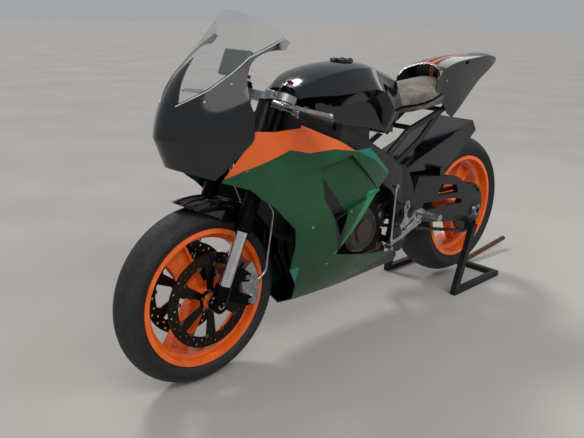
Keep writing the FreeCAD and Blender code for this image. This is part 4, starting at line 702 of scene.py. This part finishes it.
def wheel_hardware():
    """Floating disc buttons, hub screws, axle nuts, sprocket nuts and valve stems."""
    def button(mesh, base, axis):
        turned(mesh, base, axis, [(7.5, -1), (7.5, 1.2), (6, 2), (3, 2), (2.5, 1), (0, 1)], 18)

    def hub_screw(mesh, base, axis):
        socket_screw(mesh, base, axis, 5, 4)

    def nut(mesh, base, axis):
        hexagon_head(mesh, base, axis, 6.5, 6)

    def valve_stem(mesh, base, axis):
        turned(mesh, base, axis, [(5, -2), (5, 4), (3.2, 5), (3.2, 24), (4.2, 25), (4.2, 34), (0, 34)], 14)

    buttons, screws = bmesh.new(), bmesh.new()
    for side in (1, -1):
        axis = LEFT * side
        face = FRONT_CENTRE + axis * (FRONT_DISC_SIDE + DISC_THICK / 2) * MM
        ring_of(buttons, face, axis, 122, 12, 0.26, button)
        ring_of(screws, face, axis, 36, 6, 0.0, hub_screw)
    piece("front_disc_buttons", buttons, "front_wheel", "bronze")
    valve_stem(screws, FRONT_CENTRE + Vector((0, 0.012, -0.212)), Vector((0, 0.25, 1)))
    piece("front_wheel_screws", screws, "front_wheel", "zinc")
    buttons, screws = bmesh.new(), bmesh.new()
    right = -LEFT
    ring_of(buttons, REAR_CENTRE + right * (REAR_DISC_SIDE + DISC_THICK / 2) * MM, right, 80, 6, 0.26, button)
    piece("rear_disc_buttons", buttons, "rear_wheel", "bronze")
    ring_of(screws, REAR_CENTRE + LEFT * (CHAIN_SIDE + 3) * MM, LEFT, 60, 6, 0.0, nut)
    valve_stem(screws, REAR_CENTRE + Vector((0.02, 0.012, -0.212)), Vector((-0.1, 0.25, 1)))
    piece("rear_wheel_screws", screws, "rear_wheel", "zinc")
    nuts = bmesh.new()
    for side in (1, -1):
        hexagon_head(nuts, REAR_CENTRE + LEFT * side * 162 * MM, LEFT * side, 20, 4, 8.2)
        socket_screw(nuts, REAR_CENTRE + Vector((-0.034, side * 0.138, 0)), (-1, 0, 0), 6, 5)
    piece("rear_axle_nuts", nuts, "chassis", "zinc")


def chain_links():
    """Roller chain round both sprockets: pairs of waisted plates, rollers and riveted pin ends."""
    front = Vector((GEARBOX_SHAFT[0], 0, GEARBOX_SHAFT[1]))
    rear = Vector((REAR_AXLE[0], 0, REAR_AXLE[1]))
    front_radius = CHAIN_PITCH / 2 / math.sin(math.pi / FRONT_TEETH)
    rear_radius = CHAIN_PITCH / 2 / math.sin(math.pi / REAR_TEETH)
    run = rear - front
    along = run.normalized()
    lean = math.asin((rear_radius - front_radius) / run.length)
    up = Vector((along.z, 0, -along.x))

    def tangent(centre, radius, sign):
        return centre + (along * -math.sin(lean) + up * (sign * math.cos(lean))) * radius

    start, end = tangent(front, front_radius, 1), tangent(rear, rear_radius, 1)
    straight = (end - start).length
    rear_arc = rear_radius * (math.pi + 2 * lean)
    front_arc = front_radius * (math.pi - 2 * lean)
    total = 2 * straight + rear_arc + front_arc
    count = round(total / CHAIN_PITCH / 2) * 2

    def at(distance):
        """Point of the pitch line after a distance, going back along the top run."""
        distance %= total
        if distance < straight:
            return start + (end - start) * (distance / straight)
        distance -= straight
        if distance < rear_arc:
            turn = math.pi / 2 + lean - distance / rear_radius
            return rear + (along * math.cos(turn) + up * math.sin(turn)) * rear_radius
        distance -= rear_arc
        low_rear, low_front = tangent(rear, rear_radius, -1), tangent(front, front_radius, -1)
        if distance < straight:
            return low_rear + (low_front - low_rear) * (distance / straight)
        distance -= straight
        turn = -math.pi / 2 - lean - distance / front_radius
        return front + (along * math.cos(turn) + up * math.sin(turn)) * front_radius

    mesh = bmesh.new()
    outer_pair, inner_pair, plate = 8.6, 6.4, 2
    for index in range(count):
        first, second = at(index * total / count), at((index + 1) * total / count)
        middle = (first + second) / 2
        forward = (second - first).normalized()
        square = Vector((forward.z, 0, -forward.x))
        outside = outer_pair if index % 2 else inner_pair
        half = (second - first).length / 2
        outline = [(-half - 6.6, 0), (-half - 4.7, 4.9), (-half, 6.9), (-half + 4, 6.0), (0, 4.6),
                   (half - 4, 6.0), (half, 6.9), (half + 4.7, 4.9), (half + 6.6, 0)]
        outline += [(u, -v) for u, v in outline[-2:0:-1]]
        for side in (1, -1):
            inward = Vector((0, CHAIN_SIDE + side * (outside - plate), 0))
            inner = [spot(*(middle + forward * u + square * v + inward)) for u, v in outline]
            outer = [point + LEFT * side * plate * MM for point in inner]
            low = [mesh.verts.new(point) for point in inner]
            high = [mesh.verts.new(point) for point in outer]
            mesh.faces.new(low)
            mesh.faces.new(high)
            for step in range(len(low)):
                after = (step + 1) % len(low)
                mesh.faces.new((low[step], low[after], high[after], high[step]))
        pin = spot(first.x, CHAIN_SIDE - 9.4, first.z)
        turned(mesh, pin, LEFT, [(0, 0), (2.3, 0.2), (2.6, 0.8), (2.6, 5.0), (5.0, 5.0), (5.0, 13.8),
                                 (2.6, 13.8), (2.6, 18.0), (2.3, 18.6), (0, 18.8)], 10)
    piece("chain_links", mesh, "chassis", "chain", ["chain"])


def ribbed_grips():
    """Soft grips: an inner flange, sixteen ribs round the sleeve and a closed outer lip."""
    mesh = bmesh.new()
    plug, length, ribs, rib_pitch = 14, 120, 16, 6.2
    for side in (1, -1):
        run = BAR_END - LEG_SIDE
        start = steer(FORK_OFFSET + BAR_AHEAD, side * (LEG_SIDE - 6), BAR_HEIGHT)
        end = steer(FORK_OFFSET + BAR_AHEAD - run * math.tan(BAR_SWEEP), side * BAR_END,
                    BAR_HEIGHT - run * math.tan(BAR_DROP))
        axis = (end - start).normalized()
        base = end - axis * (plug + length) * MM
        profile = [(11.2, 0), (25, 0), (25.5, 1.5), (25.5, 4.5), (25, 6), (17.5, 7), (15.4, 9)]
        for rib in range(ribs):
            low = 12 + rib * rib_pitch
            profile += [(15.0, low), (15.8, low + 1.0), (15.8, low + 3.6), (15.0, low + 4.6)]
        profile += [(15.4, 112), (16, 114), (16, length - 1), (15.4, length), (11.2, length), (11.2, 0)]
        turned(mesh, base, axis, profile, 28)
    piece("ribbed_grips", mesh, "fork", "grip", ["grips"])


def tank_cap():
    """Screw ring and ribbed quick-turn lid on the tank."""
    mesh = bmesh.new()
    centre = spot(TANK_CAP_X, 0, 1028)
    lid = spot(TANK_CAP_X, 0, 1026)

    def screw(mesh, base, axis):
        socket_screw(mesh, base, axis, 3.2, 2.4)

    ring_of(mesh, centre, UP, 36, 7, 0.2, screw)
    turned(mesh, spot(TANK_CAP_X, 0, 1023.6), UP, [
        (28, 0), (28, 2.4), (26, 3.6), (18, 3.6), (16, 1.6), (0, 1.6)])
    for step in range(3):
        angle = math.pi * step / 3
        across = Vector((math.cos(angle), math.sin(angle), 0))
        tube(mesh, [lid - across * 0.017, lid + across * 0.017], 1.6, 8)
    piece("tank_cap", mesh, "chassis", "anodised")


def engine_hardware():
    """Cover screws, sprocket nut and frame bolts."""
    mesh = bmesh.new()

    def screw(mesh, base, axis):
        hexagon_head(mesh, base, axis, 4.5, 5)

    for (x, z), side, face, radius in (
            (COVER_LEFT, 1, ENGINE_SIDE + 26.4, 78), (COVER_RIGHT, -1, ENGINE_SIDE + 24, 80)):
        ring_of(mesh, spot(x, side * face, z), LEFT * side, radius, 10, 0.2, screw)
    turned(mesh, spot(GEARBOX_SHAFT[0], CHAIN_SIDE + 3, GEARBOX_SHAFT[1]), LEFT, [
        (16, 0), (16, 1.2), (14, 1.2, True), (14, 7, True), (8, 8), (0, 8)])
    for side in (1, -1):
        axis = LEFT * side
        for x, z, out in ((-560, 676, 170), (-800, 560, 150), (-878, 340, 150)):
            socket_screw(mesh, spot(x, side * out, z), axis, 8, 6)
    piece("engine_screws", mesh, "chassis", "zinc")
    ribs = bmesh.new()
    for side, (x, z), base in ((1, COVER_LEFT, ENGINE_SIDE + 44), (-1, COVER_RIGHT, ENGINE_SIDE + 40)):
        for radius in (52, 58, 64):
            points = [spot(x + radius * math.cos(a), side * (base + 0.2), z + radius * math.sin(a))
                      for a in (math.radians(20 + 10 * step) for step in range(30))]
            tube(ribs, points, 1.6, 8)
    piece("cover_ribs", ribs, "chassis", "cover")


def rearset_hardware():
    """Knurled pegs, pivot screws and lock nuts of the footrest brackets."""
    mesh = bmesh.new()
    for side in (1, -1):
        axis = LEFT * side
        for step in range(9):
            turned(mesh, spot(PEG[0], side * (196 + step * 7.4), PEG[1]), axis,
                   [(11, 0), (12, 0.8), (12, 3.4), (11, 4.2)], 16)
        for x, z in ((-846, 492), (-838, 400), PEG):
            socket_screw(mesh, spot(x, side * 186, z), axis, 6, 5)
        hexagon_head(mesh, spot(-916, side * 200, 413), axis, 7, 5)
    piece("rearset_screws", mesh, "chassis", "zinc")


def silencer_bands():
    """Two strap bands and the riveted end cap ring of the silencer."""
    mesh = bmesh.new()
    start, end = (spot(*place) for place in SILENCER)
    axis = (end - start).normalized()
    length = (end - start).length / MM
    for reach in (60, length - 60):
        turned(mesh, start + axis * (reach - 9) * MM, axis, [
            (SILENCER_RADIUS, 0), (SILENCER_RADIUS + 1.4, 0.4), (SILENCER_RADIUS + 1.4, 17.6),
            (SILENCER_RADIUS, 18)], 40)

    def rivet(mesh, base, outward):
        turned(mesh, base, outward, [(3.2, -0.4), (3.0, 0.8), (1.8, 1.5), (0, 1.6)], 12)

    across = axis.orthogonal().normalized()
    third = axis.cross(across)
    for reach in (34, length - 8):
        for step in range(12):
            angle = 2 * math.pi * step / 12
            outward = across * math.cos(angle) + third * math.sin(angle)
            rivet(mesh, start + (axis * reach + outward * SILENCER_RADIUS) * MM, outward)
    piece("silencer_bands", mesh, "chassis", "zinc")


def tail_back_plate():
    """Hollow back rest under the tail's brow: a dished sheet that carries the stripes down to the seat."""
    mesh = bmesh.new()
    rows, columns = 7, 17
    front, foot = -1204, 926
    grid = []
    for row in range(rows):
        rise = row / (rows - 1)
        line = []
        for column in range(columns):
            share = 2 * column / (columns - 1) - 1
            hollow = 1 - share * share
            top = 978.5 + 17 * hollow
            half = 87 - 4 * rise
            line.append(mesh.verts.new(spot(
                front + 8 * rise - 26 * hollow, share * half, foot + (top - foot) * rise)))
        grid.append(line)
    for low, high in zip(grid, grid[1:]):
        for column in range(columns - 1):
            mesh.faces.new((low[column], low[column + 1], high[column + 1], high[column]))
    made = piece("tail_back_plate", mesh, "chassis", "tail")
    solid = made.modifiers.new("thickness", "SOLIDIFY")
    solid.thickness = 2 * MM
    solid.offset = 0


def foam_seat():
    """Thick race foam laid on the pan: swollen top, soft rounded rim and shallow dents from use."""
    source = NODES["seat_pad"].data.copy()
    made = bpy.data.objects.new("foam_seat", source)
    bpy.context.scene.collection.objects.link(made)
    even = made.modifiers.new("even_grid", "REMESH")
    even.mode = "VOXEL"
    even.voxel_size = 5 * MM
    soften = made.modifiers.new("soften", "SMOOTH")
    soften.iterations = 8
    soften.factor = 0.5
    finer = made.modifiers.new("finer", "SUBSURF")
    finer.levels = finer.render_levels = 1
    shown = bpy.data.meshes.new_from_object(made.evaluated_get(bpy.context.evaluated_depsgraph_get()))
    for vertex in shown.vertices:
        place = vertex.co / MM
        dent = noise.noise(place / 70) * 2.6 + noise.noise(place / 22) * 0.8 + noise.noise(place / 9) * 0.35
        if vertex.normal.z > -0.2:
            vertex.co += vertex.normal * (dent - 0.6) * MM
    made.modifiers.clear()
    made.data = shown
    shown.materials.clear()
    shown.materials.append(FINISHES["foam"])
    shown.shade_smooth()
    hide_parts("seat_pad")
    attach(made, "chassis")


panel_screws()
screen_bead()
fork_hardware()
caliper_detail()
wheel_hardware()
chain_links()
ribbed_grips()
tank_cap()
engine_hardware()
rearset_hardware()
silencer_bands()
tail_back_plate()
foam_seat()


# Studio, lamps and the photograph's camera.
CAMERA_AT = (1167, 1641.6, 1200.6)
CAMERA_YAW, CAMERA_PITCH, CAMERA_ROLL = 226.056, -17.709, 1.485
FOCAL_PIXELS, PHOTO_WIDTH, SENSOR = 664.9, 584, 36.0


def camera():
    """Stands where the photographer stood, fitted to the wheels and the floor."""
    yaw, pitch, roll = (math.radians(a) for a in (CAMERA_YAW, CAMERA_PITCH, CAMERA_ROLL))
    ahead = Vector((math.cos(pitch) * math.cos(yaw), math.cos(pitch) * math.sin(yaw), math.sin(pitch)))
    level = ahead.cross(Vector((0, 0, 1))).normalized()
    upright = level.cross(ahead)
    right = level * math.cos(roll) + upright * math.sin(roll)
    up = upright * math.cos(roll) - level * math.sin(roll)
    lens = bpy.data.cameras.new("photograph_view")
    lens.sensor_width = SENSOR
    lens.lens = FOCAL_PIXELS / PHOTO_WIDTH * SENSOR
    lens.clip_start = 0.05
    eye = bpy.data.objects.new("photograph_view", lens)
    facing = Matrix((right, up, -ahead)).transposed().to_4x4()
    eye.matrix_world = Matrix.Translation(spot(*CAMERA_AT)) @ facing
    bpy.context.scene.collection.objects.link(eye)
    bpy.context.scene.camera = eye


def hung(name, light, place, aim):
    """Hangs a light at a place, shining along a direction."""
    shining = bpy.data.objects.new(name, light)
    shining.location = place
    shining.rotation_euler = aim.to_track_quat("-Z", "Y").to_euler()
    bpy.context.scene.collection.objects.link(shining)


def sun(name, source, watts, spread):
    """A soft sun that shines from a direction; spread is its angle in degrees."""
    light = bpy.data.lights.new(name, "SUN")
    light.energy = watts
    light.angle = math.radians(spread)
    hung(name, light, (0, 0, 0), -Vector(source))


def lamp(name, place, target, size, watts):
    """A soft rectangular lamp aimed at a point, in metres."""
    light = bpy.data.lights.new(name, "AREA")
    light.shape = "RECTANGLE"
    light.size, light.size_y = size
    light.energy = watts
    hung(name, light, place, Vector(target) - Vector(place))


def studio():
    """Pale floor that runs into a pale backdrop, two soft suns, two soft lamps and an even sky."""
    material, tree, surface, place = finish_material("pale_studio_floor", {"Roughness": 0.9, "IOR": 1.3})
    tree.links.new(drifting(tree, place, 700, "#A6A29D", "#AFABA6"), surface.inputs["Base Color"])
    mesh = bpy.data.meshes.new("studio_floor")
    reach = 40.0
    corners = [(-reach, -reach, 0), (reach, -reach, 0), (reach, reach, 0), (-reach, reach, 0)]
    mesh.from_pydata(corners, [], [(0, 1, 2, 3)])
    mesh.materials.append(material)
    floor = bpy.data.objects.new("studio_floor", mesh)
    floor.location.z = cad_low.z - 0.0005
    bpy.context.scene.collection.objects.link(floor)
    world = bpy.data.worlds.new("studio_sky")
    bpy.context.scene.world = world
    world.use_nodes = True
    tree = world.node_tree
    tree.nodes.clear()
    rays = node(tree, "LightPath")
    seen = rays.outputs["Is Camera Ray"]
    for ray in ("Is Glossy Ray", "Is Transmission Ray"):
        seen = node(tree, "Math", {0: seen, 1: rays.outputs[ray]}, operation="MAXIMUM").outputs[0]
    lighting = node(tree, "Background", {"Color": "#EEF1F5", "Strength": 0.5})
    backdrop = node(tree, "Background", {"Color": "#CDD0D3", "Strength": 0.6})
    both = node(tree, "MixShader", {0: seen, 1: lighting.outputs[0], 2: backdrop.outputs[0]})
    node(tree, "OutputWorld", {"Surface": both.outputs[0]})
    sun("low_sun_behind", (-0.2, -1.0, 1.15), 1.35, 12)
    sun("open_sky_ahead", (0.9, 1.1, 1.4), 0.85, 50)
    lamp("long_softbox", (0.4, 2.7, 2.9), (-0.1, 0, 0.8), (3.2, 1.1), 45)
    lamp("rear_softbox", (-2.6, -0.6, 2.6), (-0.4, 0, 0.9), (1.4, 1.4), 9)


camera()
studio()
view = bpy.context.scene.view_settings
view.view_transform = "Standard"
